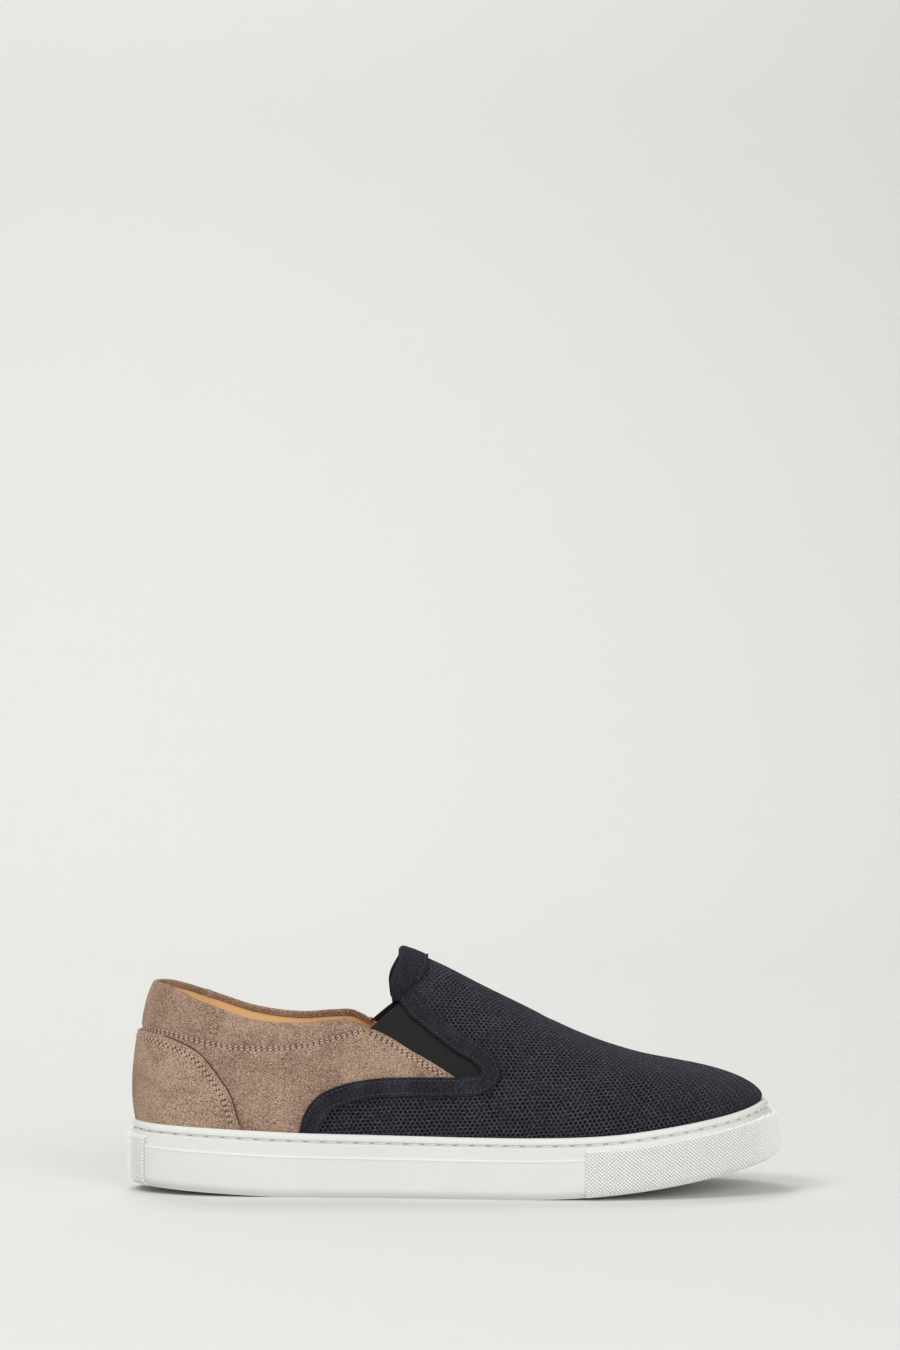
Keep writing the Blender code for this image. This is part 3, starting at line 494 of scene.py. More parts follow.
def diamonds(start, end, low, high, top):
    """Low flat-topped pyramids over a stretch of the wall: distances round the outline
    from the toe (or heel) at round_at start, and shares of its height. top is the size
    of a flat top as a share of the pyramid's foot."""
    wide, tall = KNURL_PITCH
    points, faces = [], []
    middle = 1.0 if abs(start) > 0.5 else 0.0
    reach = [abs(abs(at) - middle) * length for at, length in zip((start, end), SIDE_LENGTHS)]
    across = np.arange(-reach[0], reach[1], wide / 2)
    level = np.arange(0, SOLE_HEIGHT * 1.2, tall / 2)
    u, w = np.meshgrid(across, level, indexing="ij")
    odd = (np.arange(len(across))[:, None] + np.arange(len(level))[None, :]) % 2 == 1
    u, w = u[odd], w[odd]

    def at_wall(u, w, lift):
        sign = 1.0 if middle else -1.0
        round_at = np.where(u < 0, -middle - sign * u / SIDE_LENGTHS[0], middle - sign * u / SIDE_LENGTHS[1])
        x, _ = edge(round_at, 0.0)
        share = w / (lip_height(x) - underside_height(x))
        return wall(round_at, np.clip(share, 0, 1), lift), share

    _, share = at_wall(u, w, 0.0)
    keep = (share > low) & (share < high)
    u, w = u[keep], w[keep]
    corners = ((-0.5, 0), (0, -0.5), (0.5, 0), (0, 0.5))
    for size, lift in ((0.98, -0.0001), (top, KNURL_DEPTH)):
        for a, b in corners:
            points.append(at_wall(u + a * wide * size, w + b * tall * size, lift)[0])
    count = len(u)
    points = np.stack(points, axis=1).reshape(-1, 3)
    shape = [(i, (i + 1) % 4, 4 + (i + 1) % 4, 4 + i) for i in range(4)] + [(4, 5, 6, 7)]
    faces = (np.arange(count)[:, None, None] * 8 + np.array(shape)[None]).reshape(-1, 4)
    return points, faces


def threads(points, normals, pitch, length, radius, rings=6, sides=6):
    """Stitches along a line on a surface: each arches out of one hole into the next."""
    lengths = np.concatenate([[0], np.cumsum(np.linalg.norm(np.diff(points, axis=0), axis=1))])
    count = max(int(lengths[-1] / pitch), 1)
    starts = (np.arange(count) + 0.5) * lengths[-1] / count - length / 2
    t = np.linspace(0, 1, rings)
    s = starts[:, None] + t[None, :] * length

    def read(values, at):
        return np.stack([np.interp(at, lengths, values[:, axis]) for axis in range(3)], axis=-1)

    middle, normal = read(points, s), unit(read(normals, s))
    ahead = unit(read(points, s + pitch * 0.05) - read(points, s - pitch * 0.05))
    aside = np.cross(normal, ahead)
    arch = np.sin(math.pi * t)
    middle = middle + normal * (radius * (1.5 * arch - 1.0))[None, :, None]
    thick = radius * (0.6 + 0.4 * arch)[None, :, None, None]
    turn = np.arange(sides) * 2 * math.pi / sides
    around = aside[:, :, None] * np.cos(turn)[:, None] + normal[:, :, None] * np.sin(turn)[:, None]
    body = (middle[:, :, None] + around * thick).reshape(-1, 3)
    one = grid_faces(rings, sides, closed=True)
    faces = (np.arange(count)[:, None, None] * rings * sides + one[None]).reshape(-1, 4)
    between = starts - (lengths[-1] / count - length) / 2
    way = unit(read(points, between + pitch * 0.05) - read(points, between - pitch * 0.05))
    return (body, faces), (read(points, between), unit(read(normals, between)), way)


def hole_shade_discs(places, normals, ways, radius, stretch=1.0, lift=0.00005, sides=10):
    """Painted shade in the needle holes between the stitches: dark discs just over the surface."""
    turn = np.arange(sides) * 2 * math.pi / sides
    ring = ways[:, None] * np.cos(turn)[:, None] * stretch
    ring = ring + np.cross(normals, ways)[:, None] * np.sin(turn)[:, None]
    points = places[:, None] + ring * radius + normals[:, None] * lift
    return points.reshape(-1, 3), np.arange(len(places) * sides).reshape(-1, sides)


def joined(parts):
    """Points and faces of several meshes as one."""
    points, faces, first = [], [], 0
    for some_points, some_faces in parts:
        points.append(some_points)
        faces += [[corner + first for corner in face] for face in some_faces]
        first += len(some_points)
    return np.vstack(points), faces


def build_sole():
    count = int(max(SIDE_LENGTHS) / WALL_STEP)
    edges = [HEEL_PATCH, HEEL_PATCH + PATCH_EDGE, TOE_PATCH - PATCH_EDGE, TOE_PATCH]
    round_at = both_sides(np.unique(np.round([*np.linspace(0, 1, count), *edges], 6)))
    rows = [wall(round_at, share) for span in WALL_ROWS for share in np.linspace(*span)]
    outer = rows[-1]
    x, y = edge(round_at, margin(round_at) - CLEARANCE)
    inner = np.stack([x, y, lip_height(x)], axis=-1)
    rows += [outer + (inner - outer) * part + (0, 0, 0.0001 * math.sin(math.pi * part))
             for part in (0.15, 0.5, 0.85, 1.0)]
    for part in (0.2, 0.6, 1.0):
        x, y = edge(round_at, margin(round_at) + CUP_TUCK * part**2 - CLEARANCE)
        height = lip_height(x) + (floor_height(x) - lip_height(x)) * part
        rows.append(np.stack([x, y, height], axis=-1))
    size = len(round_at)
    faces = grid_faces(len(rows), size, closed=True).tolist()
    half = size // 2
    last_ring = (len(rows) - 1) * size
    for i in range(half):
        corners = [i, i + 1, size - i - 1, (size - i) % size]
        faces.append([last_ring + corner for corner in dict.fromkeys(corners)][::-1])
    dress(mesh_object("sole_wall", np.vstack(rows), faces, rubber("white_rubber")), "white_rubber", "sole")

    toe = diamonds(-TOE_PATCH, TOE_PATCH, 0.03, PATCH_SHARE - KNURL_EDGE, TOE_KNURL_TOP)
    heel = diamonds(-HEEL_PATCH, HEEL_PATCH, 0.05, PATCH_SHARE - KNURL_EDGE, HEEL_KNURL_TOP)
    knurl = mesh_object("sole_knurl", *joined([toe, heel]), rubber("knurled_rubber", grooves=True))
    knurl.data.shade_flat()
    # groove is 1 at each pyramid's foot and 0 on its flat top: the mask of the knurl's painted shade and
    # highlight
    layer = knurl.data.attributes.new("groove", "FLOAT", "POINT")
    layer.data.foreach_set("value", np.tile([1.0] * 4 + [0.0] * 4, len(knurl.data.vertices) // 8))
    dress(knurl, "white_rubber")

    line_at = np.linspace(-1, 1, 1600)
    line = wall(line_at, GROOVE_SHARE, SOLE_THREAD * 0.3)
    out = np.column_stack([*[-np.interp(line_at, EDGE_AT, EDGE_INWARD[:, axis]) for axis in (0, 1)],
                           np.zeros(len(line_at))])
    body, holes = threads(line, out, SOLE_STITCH_PITCH, SOLE_STITCH_PITCH * 0.70, SOLE_THREAD)
    dress(mesh_object("sole_stitches", *body, bpy.data.materials["white_rubber"]), "white_rubber")
    # painted shade: dark dashes in the channel between the stitches, over their holes
    shade = Paint("sole_hole_shade", Roughness=0.9)
    shade.wear(Base_Color=shade.mix(shade.noise(0.001), SOLE_HOLE_SHADE_DARK, SOLE_HOLE_SHADE_LIGHT))
    slots = hole_shade_discs(*holes, SOLE_THREAD * 0.5, 4.6)
    dress(mesh_object("sole_stitch_hole_shades", *slots, shade.material), "white_rubber")


def build_tread():
    """The underside: straight flex grooves inside a plain rim."""
    places = np.unique(np.round(np.linspace(0, 1, 520), 6))
    outer, inner = wall(-places, 0.0), wall(places, 0.0)
    part = ease(0, 1, np.linspace(0, 1, 33))[:, None, None]
    points = outer + (inner - outer) * part
    x = points[..., 0]
    wide = np.linalg.norm(inner - outer, axis=-1)[None, :]
    inside = np.minimum(part[..., 0], 1 - part[..., 0]) * wide
    depth = np.zeros_like(x)
    for start, count in FLEX_GROOVES:
        for number in range(count):
            away = np.abs(x - ((start - 0.5) * LENGTH + number * FLEX_GROOVE_PITCH))
            depth += 1 - ease(FLEX_GROOVE_WIDTH * 0.3, FLEX_GROOVE_WIDTH * 0.7, away)
    depth *= ease(TREAD_RIM - 0.004, TREAD_RIM - 0.002, inside) * FLEX_GROOVE_DEPTH
    points[..., 2] = underside_height(x) + depth
    sheet("tread", points, rubber("tread_rubber", tread=True), "white_rubber")


build_sole()
build_tread()


# The quarters: soft taupe suede from the heel to the elastic, 1 mm over a 1 mm lining.
# A double row of stitches parts the padded collar, whose edge is turned over inwards.
UPPER_WALL = 0.0022
HEEL_BULGE, SIDE_BULGE, SWELL_POWER = 0.0017, 0.0010, 4
TONGUE_SWEEP, SWEEP_SHARE, SWEEP_END, TONGUE_SHARE = 0.0045, 0.10, (0.45, 0.77), 0.421
TOE_CENTRE, HEEL_CENTRE, TOE_SLOPE = 0.835, 0.150, 0.40
LINING_STEP = 0.0003  # how far the turned edge stands over the lining
TURNED_DEPTH = 0.0020  # height of the turned edge inside the collar
INNER_RISE = 0.0018  # the collar is higher on the inner side, between these shares
INNER_RISE_START, INNER_RISE_END, INNER_FALL = (0.05, 0.12), (0.18, 0.29), 0.65
COLLAR_PAD, COLLAR_PAD_END = 0.0006, (0.36, 0.30)
SEAM_DIP, SEAM_WIDTH = 0.00055, 0.0013
STITCH_PITCH = 0.0026
THREAD = 0.00026
ROW_GAP = 0.00125  # between the two rows of a double seam
EDGE_SEAM = (0.0020, 0.0032)  # from the quarter's front edge
TAUPE_LIGHT, TAUPE, TAUPE_DARK = (0.53, 0.376, 0.288), (0.328, 0.215, 0.158), (0.162, 0.098, 0.069)
THREAD_DARK, THREAD_LIGHT = (0.42, 0.32, 0.25), (0.76, 0.64, 0.53)
# painted shade in the needle holes of the seams
HOLE_SHADE_DARK, HOLE_SHADE_LIGHT = (0.022, 0.009, 0.006), (0.050, 0.024, 0.016)
NAP_CLOUD, NAP_STREAK, NAP_FIBRE, NAP_FLECK = 0.018, 0.0042, 0.0007, 0.00042  # sizes of its lumps
CLOUD_TONE, STREAK_TONE, FIBRE_TONE, FLECK_TONE = 0.40, 0.14, 2.0, 5.6
NAP_DEPTH = 0.0003

# Sections of the last: share of the length, ridge height as a share of the instep
# height, its shift to the inner side as a share of the ball width, and the powers of
# the cosine and sine that draw the section.
SECTIONS = (
    (0.150, 1.090, 0.000, 0.74, 0.74),
    (0.267, 1.080, 0.002, 0.85, 0.86),
    (0.350, 1.038, 0.006, 0.95, 1.05),
    (0.421, 0.988, 0.012, 1.00, 1.20),
    (0.476, 0.926, 0.018, 1.00, 1.14),
    (0.537, 0.842, 0.024, 0.98, 1.03),
    (0.599, 0.760, 0.030, 0.94, 0.95),
    (0.660, 0.678, 0.036, 0.89, 0.88),
    (0.721, 0.609, 0.044, 0.84, 0.83),
    (0.783, 0.555, 0.052, 0.80, 0.79),
    (0.835, 0.529, 0.060, 0.77, 0.77),
)
# The topline: share of the length, height as a share of the heel height.
TOPLINE = (
    (0.043, 1.000),
    (0.058, 0.992),
    (0.073, 0.975),
    (0.088, 0.954),
    (0.105, 0.929),
    (0.127, 0.904),
    (0.147, 0.882),
    (0.186, 0.842),
    (0.233, 0.822),
    (0.265, 0.821),
    (0.312, 0.833),
    (0.343, 0.832),
    (0.357, 0.813),
    (0.370, 0.797),
    (0.383, 0.842),
    (0.411, 0.903),
)
# Lines in the side view: share of the length, height as a share of the instep height.
BAND_PATH = (
    (0.280, 0.2685),
    (0.283, 0.305),
    (0.289, 0.340),
    (0.302, 0.380),
    (0.325, 0.410),
    (0.350, 0.429),
    (0.378, 0.440),
    (0.424, 0.446),
    (0.473, 0.447),
    (0.505, 0.449),
    (0.527, 0.454),
    (0.545, 0.471),
    (0.553, 0.500),
    (0.550, 0.534),
    (0.535, 0.574),
    (0.502, 0.626),
    (0.464, 0.705),
    (0.440, 0.755),
    (0.424, 0.812),
)
BAND_TURN = 10  # rows of the band's path below the elastic's tip
GORE_BACK = (
    (0.371, 0.684),
    (0.401, 0.645),
    (0.431, 0.595),
    (0.461, 0.551),
    (0.499, 0.488),
)
GORE_TIP = ((0.522, 0.453),)  # under the band
GORE_TOP = (
    (0.371, 0.684),
    (0.3914, 0.731),
    (0.411, 0.774),
    (0.424, 0.812),
)
COLLAR_SEAM = (
    (0.039, 0.670),
    (0.070, 0.659),
    (0.099, 0.641),
    (0.125, 0.626),
    (0.151, 0.613),
    (0.187, 0.607),
    (0.225, 0.606),
    (0.266, 0.616),
    (0.296, 0.632),
    (0.326, 0.652),
    (0.345, 0.666),
    (0.360, 0.678),
)
# Creases: share of the length, share of the instep height, slope of the
# line in degrees, half its length, its width and its depth.
CREASES = (
    (0.610, 0.540, 64, 0.018, 0.0052, 0.00045),
    (0.655, 0.460, 72, 0.014, 0.0046, 0.00035),
    (0.575, 0.480, 58, 0.015, 0.0044, 0.00030),
    (0.705, 0.430, 80, 0.011, 0.0040, 0.00025),
    (0.300, 0.500, 12, 0.026, 0.0075, 0.00045),
    (0.235, 0.430, -38, 0.022, 0.0070, 0.00040),
    (0.110, 0.420, 75, 0.020, 0.0080, 0.00035),
)
CREASE_RIDGE = 1.6  # how high the ridges beside a trough stand
SWELL_PEAK = (SWELL_POWER / (SWELL_POWER + 1)) ** SWELL_POWER / (SWELL_POWER + 1)


def fan(x):
    """Where a rib that starts at x meets the ridge."""
    toe_x, heel_x = LENGTH / 2 - TOE_MARGIN, SIDE_MARGIN - LENGTH / 2
    toe_reach = toe_x - (TOE_CENTRE - 0.5) * LENGTH
    heel_reach = (HEEL_CENTRE - 0.5) * LENGTH - heel_x
    past_toe = np.clip(x - (toe_x - 2 * toe_reach), 0, 2 * toe_reach)
    past_heel = np.clip((heel_x + 2 * heel_reach) - x, 0, 2 * heel_reach)
    return x - past_toe**2 / (4 * toe_reach) + past_heel**2 / (4 * heel_reach)


def last(round_at, climb):
    """The upper's outer face. climb goes from 0 at the lip to pi / 2 at the ridge, and
    on past it down the other side."""
    round_at, climb = np.broadcast_arrays(np.asarray(round_at, float), np.asarray(climb, float))
    over = climb > math.pi / 2
    round_at = np.where(over, -round_at, round_at)
    climb = np.where(over, math.pi - climb, climb)
    foot_x, foot_y = edge(round_at, margin(round_at))
    other_x, _ = edge(-round_at, margin(round_at))
    ridge_x = fan((foot_x + other_x) / 2)
    share = share_of(ridge_x)
    ridge_y = smooth(SECTIONS, 2, share) * BALL_WIDTH
    ridge_z = smooth(SECTIONS, 1, share) * INSTEP_HEIGHT
    inward, upward = smooth(SECTIONS, 3, share), smooth(SECTIONS, 4, share)
    turn = np.sign(climb) * (np.abs(climb) / (math.pi / 2)) ** (1 / upward) * math.pi / 2
    lip_z = lip_height(foot_x)
    along = 1 - np.maximum(np.cos(turn), 0) ** inward
    rise = np.sign(turn) * np.abs(np.sin(turn)) ** upward
    across_x, across_y = ridge_x - foot_x, ridge_y - foot_y
    reach = np.hypot(across_x, across_y)
    slope = TOE_SLOPE * np.clip(-across_x / reach, 0, 1)
    at_heel = np.clip(across_x / reach, 0, 1)
    swell = rise * (1 - np.abs(rise)) ** SWELL_POWER / SWELL_PEAK
    swell = swell * (SIDE_BULGE + (HEEL_BULGE - SIDE_BULGE) * at_heel)
    from_tongue = (share - TONGUE_SHARE) / SWEEP_SHARE
    bow = np.sin(math.pi * np.minimum(along, 0.5)) ** 2 * (1 - ease(*SWEEP_END, along))
    sweep = TONGUE_SWEEP * np.exp(-(from_tongue**2)) * bow
    x = foot_x + across_x * (along - swell / reach) - sweep
    y = foot_y + across_y * (along - swell / reach)
    z = lip_z + (ridge_z - lip_z) * ((1 - slope) * rise + slope * along)
    return np.stack([x, y, z], axis=-1)


def facing(round_at, climb):
    """The outward unit normal of the upper's outer face."""
    low, high = 0.10, math.pi / 2 - 0.08

    def normal(at, up):
        up = np.clip(up, low, high)
        forward = last(at + 0.006, up) - last(at - 0.006, up)
        return unit(np.cross(last(at, up + 0.03) - last(at, up - 0.03), forward))

    round_at, climb = np.broadcast_arrays(np.asarray(round_at, float), np.asarray(climb, float))
    over = climb > math.pi / 2
    round_at = np.where(over, -round_at, round_at)
    climb = np.where(over, math.pi - climb, climb)
    found = normal(round_at, climb)
    both = unit(found + normal(-round_at, climb))
    return np.where((climb > high)[..., None], both, found)


def crease(points):
    """How far the creases move the surface out at these points."""
    total = 0.0
    for share, height, slope, length, width, depth in CREASES:
        dx, dz = points[..., 0] - (share - 0.5) * LENGTH, points[..., 2] - height * INSTEP_HEIGHT
        cos, sin = math.cos(math.radians(slope)), math.sin(math.radians(slope))
        along, across = (dx * cos + dz * sin) / length, (dz * cos - dx * sin) / width
        total = total - depth * np.exp(-(along**2) - across**2) * (1 - CREASE_RIDGE * across**2)
    return total


def skin(round_at, climb, offset=0.0):
    """A point of the upper's outer face, creases and all, this far out of it."""
    base = last(round_at, climb)
    return base + facing(round_at, climb) * (offset + crease(base))[..., None]


def climb_to(round_at, height):
    """How far up its rib the upper reaches this height, a function of x."""
    low = np.zeros_like(np.asarray(round_at, float))
    high = np.full_like(low, math.pi / 2)
    for _ in range(30):
        middle = (low + high) / 2
        point = last(round_at, middle)
        above = point[..., 2] > height(point[..., 0])
        high = np.where(above, middle, high)
        low = np.where(above, low, middle)
    return (low + high) / 2


def land(guess, target):
    """(round_at, climb) of the places on the upper nearest to these points."""
    step = 1e-4
    for _ in range(14):
        here = last(guess[:, 0], guess[:, 1])
        by_round = (last(guess[:, 0] + step, guess[:, 1]) - here) / step
        by_climb = (last(guess[:, 0], guess[:, 1] + step) - here) / step
        a, b, c = [(p * q).sum(axis=1) for p, q in
                   ((by_round, by_round), (by_round, by_climb), (by_climb, by_climb))]
        r, s = ((target - here) * by_round).sum(axis=1), ((target - here) * by_climb).sum(axis=1)
        det = a * c - b * b
        guess = guess + np.column_stack([(c * r - b * s) / det, (a * s - b * r) / det])
    return guess


def seen_at(side, rows):
    """(round_at, climb) of the places that a side view shows there. side is -1 for the
    outer side and 1 for the inner side."""
    found = []
    for length_share, height_share in rows:
        target = np.array([(length_share - 0.5) * LENGTH, height_share * INSTEP_HEIGHT])
        guess = np.array([side * length_share, 0.6])
        for _ in range(40):
            near = last(guess[0] + np.array([0, 1e-4, 0]), guess[1] + np.array([0, 0, 1e-4]))[:, [0, 2]]
            slopes = np.column_stack([near[1] - near[0], near[2] - near[0]]) / 1e-4
            guess = guess + np.clip(np.linalg.solve(slopes, target - near[0]), -0.08, 0.08)
            guess[0] = side * np.clip(abs(guess[0]), 0.001, 0.97)
            guess[1] = np.clip(guess[1], 0.002, 1.45)
        found.append(guess)
    return np.array(found)


def walk(points):
    """Distance along a path of (round_at, climb) at each of its points."""
    places = last(points[:, 0], points[:, 1])
    return np.concatenate([[0], np.cumsum(np.linalg.norm(np.diff(places, axis=0), axis=1))])


def resample(points, count):
    """The same path with evenly spaced points, rounded by a cubic."""
    lengths = walk(points)
    rows = [(length, *point) for length, point in zip(lengths, points)]
    even = np.linspace(0, lengths[-1], count)
    return np.column_stack([smooth(rows, column, even) for column in (1, 2)])


def beside(path, distance):
    """The path moved sideways over the upper."""
    places = last(path[:, 0], path[:, 1])
    sideways = unit(np.cross(facing(path[:, 0], path[:, 1]), np.gradient(places, axis=0)))
    return land(path.copy(), places + sideways * distance)


def by_height(path, count, share=0.5):
    """The path's points spaced partly by length and partly by height, and how high
    each one is, 0 to 1."""
    dense = np.column_stack([np.interp(np.linspace(0, len(path) - 1, 1500), np.arange(len(path)), path[:, k])
                             for k in (0, 1)])
    height = np.maximum.accumulate(last(dense[:, 0], dense[:, 1])[:, 2])
    height = (height - height[0]) / (height[-1] - height[0])
    length = walk(dense)
    measure = share * length / length[-1] + (1 - share) * height
    even = np.linspace(0, 1, count)
    found = np.column_stack([np.interp(even, measure, dense[:, k]) for k in (0, 1)])
    return found, np.interp(even, measure, height)


def topline(x, round_at):
    """Height of the wall's last row: half the wall's thickness is still to turn over it."""
    rise = ease(*INNER_RISE_START, share_of(x)) - INNER_FALL * ease(*INNER_RISE_END, share_of(x))
    rise = rise * np.where(round_at > 0, INNER_RISE, 0)
    return smooth(TOPLINE, 1, share_of(x)) * HEEL_HEIGHT - UPPER_WALL / 2 + rise


def topline_climb(round_at):
    return climb_to(round_at, lambda x: topline(x, round_at))


def quarter_front(side):
    """Up the middle of the band to the elastic's tip, and back along the elastic."""
    low = resample(seen_at(side, BAND_PATH[:BAND_TURN]), 60)
    low[0, 1] = 0.0
    high = resample(seen_at(side, GORE_BACK[::-1]), 60)
    high[-1, 1] = topline_climb(high[-1, 0])
    return np.vstack([low, high])


def quarter_grid(side, rows, columns):
    """(round_at, climb) from the heel's middle to the quarter's front edge, row by row
    from the lip to the topline."""
    front, height = by_height(quarter_front(side), rows)
    apex = float(topline_climb(0.0))
    u = np.linspace(0, 1, columns)[None, :]
    heel = (apex * height)[:, None]
    round_at = u * front[:, :1]
    climb = (1 - u) * heel + u * front[:, 1:]
    top_at = round_at[-1]
    wanted = topline_climb(top_at)
    climb = climb + height[:, None] * (wanted - climb[-1])[None, :]
    return round_at, climb


def turn_over(outer, normal, outward, thickness, steps=7):
    """Rows that carry a face round its free edge to the other side of the wall."""
    middle = outer - normal * thickness / 2
    turns = np.linspace(0, math.pi, steps + 1)[1:]
    return [middle + (normal * math.cos(t) + outward * math.sin(t)) * thickness / 2 for t in turns]


def turned_edge(round_at, climb, outer, lift=0.0):
    """Rows over the collar and down inside it, on from the outer face's last row."""
    normal = facing(round_at, climb)
    up = last(round_at, climb + 0.02) - last(round_at, climb - 0.02)
    per_climb = np.linalg.norm(up, axis=1) / 0.04
    up = unit(up - normal * (up * normal).sum(axis=1)[:, None])
    rows = turn_over(outer + normal * lift, normal, up, UPPER_WALL + 2 * lift)
    for drop in (0.2, 0.5, 0.8, 1.0):
        down = climb - TURNED_DEPTH * drop / per_climb
        rows.append(skin(round_at, down, -UPPER_WALL - lift))
    return rows + [skin(round_at, down, -UPPER_WALL + LINING_STEP * 1.5)]


def tail_rows(round_at, parts, inset=0.0):
    """The upper below the lip, inside the cup."""
    rows = []
    for part in parts:
        x, y = edge(round_at, margin(round_at) + CUP_TUCK * part**2 + inset)
        foot_x, _ = edge(round_at, margin(round_at) + CUP_TUCK * part**2)
        drop = (floor_height(foot_x) + CLEARANCE - lip_height(foot_x)) * part
        rows.append(np.stack([x, y, lip_height(foot_x) + drop], axis=-1))
    return rows


def shaded(factor, *colours):
    return [tuple(part * factor for part in colour) for colour in colours]


def suede(name, light, middle, dark, speckle=1.0, nap=1.0, holes=None, sheen=0.12):
    """Napped leather: soft clouds where the nap lies over, and a fine fibrous grain."""
    paint = Paint(name, Roughness=0.95, Specular_IOR_Level=0.15, Sheen_Weight=sheen, Sheen_Roughness=0.5,
                  Sheen_Tint=(*light, 1))
    cloud = paint.step(0.36, 0.66, paint.noise(NAP_CLOUD, 3.0, 0.55, distortion=0.6))
    streak = paint.step(0.30, 0.72, paint.noise(NAP_STREAK, 3.0, 0.6, distortion=1.2))
    lie = {"Vector": paint.place(), "Rotation": (0, -0.5, 0.2), "Scale": (0.65, 1.0, 1.0)}
    combed = paint.node("ShaderNodeMapping", {}, lie)
    fibre = paint.noise(NAP_FIBRE, 3.0, 0.75, combed, 0.3) - 0.5
    fleck = paint.noise(NAP_FLECK, 2.0, 0.7, combed) - 0.5
    tone = (cloud - 0.5) * (CLOUD_TONE * nap) + (streak - 0.5) * (STREAK_TONE * nap)
    tone = tone + fibre * (FIBRE_TONE * speckle) + fleck * (FLECK_TONE * speckle)
    colour = paint.mix(paint.step(-0.70, 0.0, tone), dark, middle)
    colour = paint.mix(paint.step(0.0, 0.70, tone), colour, light)
    height = fibre * 1.8 + fleck * 1.6 + streak * 0.3
    if holes:
        depth, shadow = holes(paint)
        colour = paint.mix(shadow, colour, tuple(0.12 * c for c in dark))
        height = height - depth
    return paint.wear(Base_Color=colour, Normal=paint.bump(height, NAP_DEPTH, 0.55))


def build_quarters():
    rows, columns = 62, 118
    sides = []
    for side in (-1, 1):
        round_at, climb = quarter_grid(side, rows, columns)
        sides.append((round_at, climb) if side > 0 else (round_at[:, :0:-1], climb[:, :0:-1]))
    round_at, climb = [np.hstack([one, two]) for one, two in zip(*sides)]
    face = last(round_at, climb)
    seam = smooth(COLLAR_SEAM, 1, share_of(face[..., 0])) * INSTEP_HEIGHT
    above = face[..., 2] - seam
    top = topline(face[..., 0], round_at)
    middle = np.clip(above / np.maximum(top - seam, 0.003), 0, 1)
    offset = COLLAR_PAD * np.sin(math.pi * middle) ** 0.8 * ease(*COLLAR_PAD_END, share_of(face[..., 0]))
    offset = offset - SEAM_DIP * np.exp(-(((above + ROW_GAP / 2) / SEAM_WIDTH) ** 4))
    body = skin(round_at, climb, offset)
    points = tail_rows(round_at[0], (1.0, 0.5)) + list(body)
    points = np.array(points + turned_edge(round_at[-1], climb[-1], body[-1]))
    ends = []
    for column in (0, -1):
        inwards = [points[:, column] - facing(np.r_[round_at[0, column]], np.r_[0.7])[0] * depth
                   for depth in (0.0002, 0.0010)]
        ends.append(inwards)
    points = np.concatenate([np.stack(ends[0][::-1], axis=1), points, np.stack(ends[1], axis=1)], axis=1)
    sheet("quarters", points, suede("taupe_suede", TAUPE_LIGHT, TAUPE, TAUPE_DARK), "taupe_suede", "upper")


def seam(paths, offset, pitch=STITCH_PITCH, radius=THREAD, share=0.66, hole=0.00042):
    """Stitches and their holes along paths of (round_at, climb)."""
    bodies, holes = [], []
    for path in paths:
        dense = resample(path, 400)
        points, normals = skin(dense[:, 0], dense[:, 1], offset), facing(dense[:, 0], dense[:, 1])
        body, places = threads(points, normals, pitch, pitch * share, radius)
        bodies.append(body)
        holes.append(hole_shade_discs(*places, hole))
    return joined(bodies), joined(holes)


def sewn(name, paths, offset, thread_material, slot, **sizes):
    stitches, holes = seam(paths, offset, **sizes)
    dress(mesh_object(name, *stitches, thread_material), slot)
    dress(mesh_object(name + "_hole_shades", *holes, bpy.data.materials["needle_hole_shade"]), slot)


def build_quarter_seams():
    # dark discs at the seams' needle holes: painted shade
    hole = Paint("needle_hole_shade", Roughness=1.0)
    hole.wear(Base_Color=hole.mix(hole.noise(0.001), HOLE_SHADE_DARK, HOLE_SHADE_LIGHT))
    thread = Paint("taupe_thread", Roughness=0.7)
    twist = thread.noise(0.0006, 2.0)
    thread.wear(Base_Color=thread.mix(twist, THREAD_DARK, THREAD_LIGHT),
                Normal=thread.bump(twist, 0.0001, 0.5))
    outer, inner = seen_at(-1, COLLAR_SEAM), seen_at(1, COLLAR_SEAM)
    apex = (outer[0, 1] + inner[0, 1]) / 2
    line = resample(np.vstack([outer[::-1], [(0.0, apex)], inner]), 181)
    collar, edge_rows = [line, beside(line, ROW_GAP)], []
    for side in (-1, 1):
        front = resample(seen_at(side, GORE_BACK), 60)
        edge_rows += [beside(front, side * away)[2:end] for away, end in zip(EDGE_SEAM, (56, 54))]
    sewn("collar_stitches", collar, -SEAM_DIP * 0.75, thread.material, "taupe_suede")
    sewn("quarter_edge_stitches", edge_rows, 0.0, thread.material, "taupe_suede")


build_quarters()
build_quarter_seams()


# The vamp: navy suede in one piece from the toe over the instep, punched all over with
# small round holes in staggered rows. Its edges lie under the bands.
HOLE_PITCH = 0.00215  # along a row
HOLE_ROWS = 0.00172  # from row to row
HOLE_RADIUS = 0.00068
HOLE_STRAY = 0.0016  # how far the rows wander
ROW_SLOPE = 0.06  # the rows rise a little more than the lip, toward the toe
PUNCHED_LIGHT, PUNCHED = (0.112, 0.107, 0.140), (0.0365, 0.0345, 0.0465)
PUNCHED_DARK = (0.0145, 0.0138, 0.019)
PLAIN_BY_TONGUE, PLAIN_OVER_TOE = (0.430, 0.490), (0.800, 0.960)  # shares of the length
PLAIN_ABOVE = (0.078, 0.090)


def tongue_column():
    low, high = 0.0, 1.0
    for _ in range(40):
        middle = (low + high) / 2
        beyond = last(middle, math.pi / 2)[0] > (TONGUE_SHARE - 0.5) * LENGTH
        low, high = (low, middle) if beyond else (middle, high)
    return (low + high) / 2


TONGUE = tongue_column()


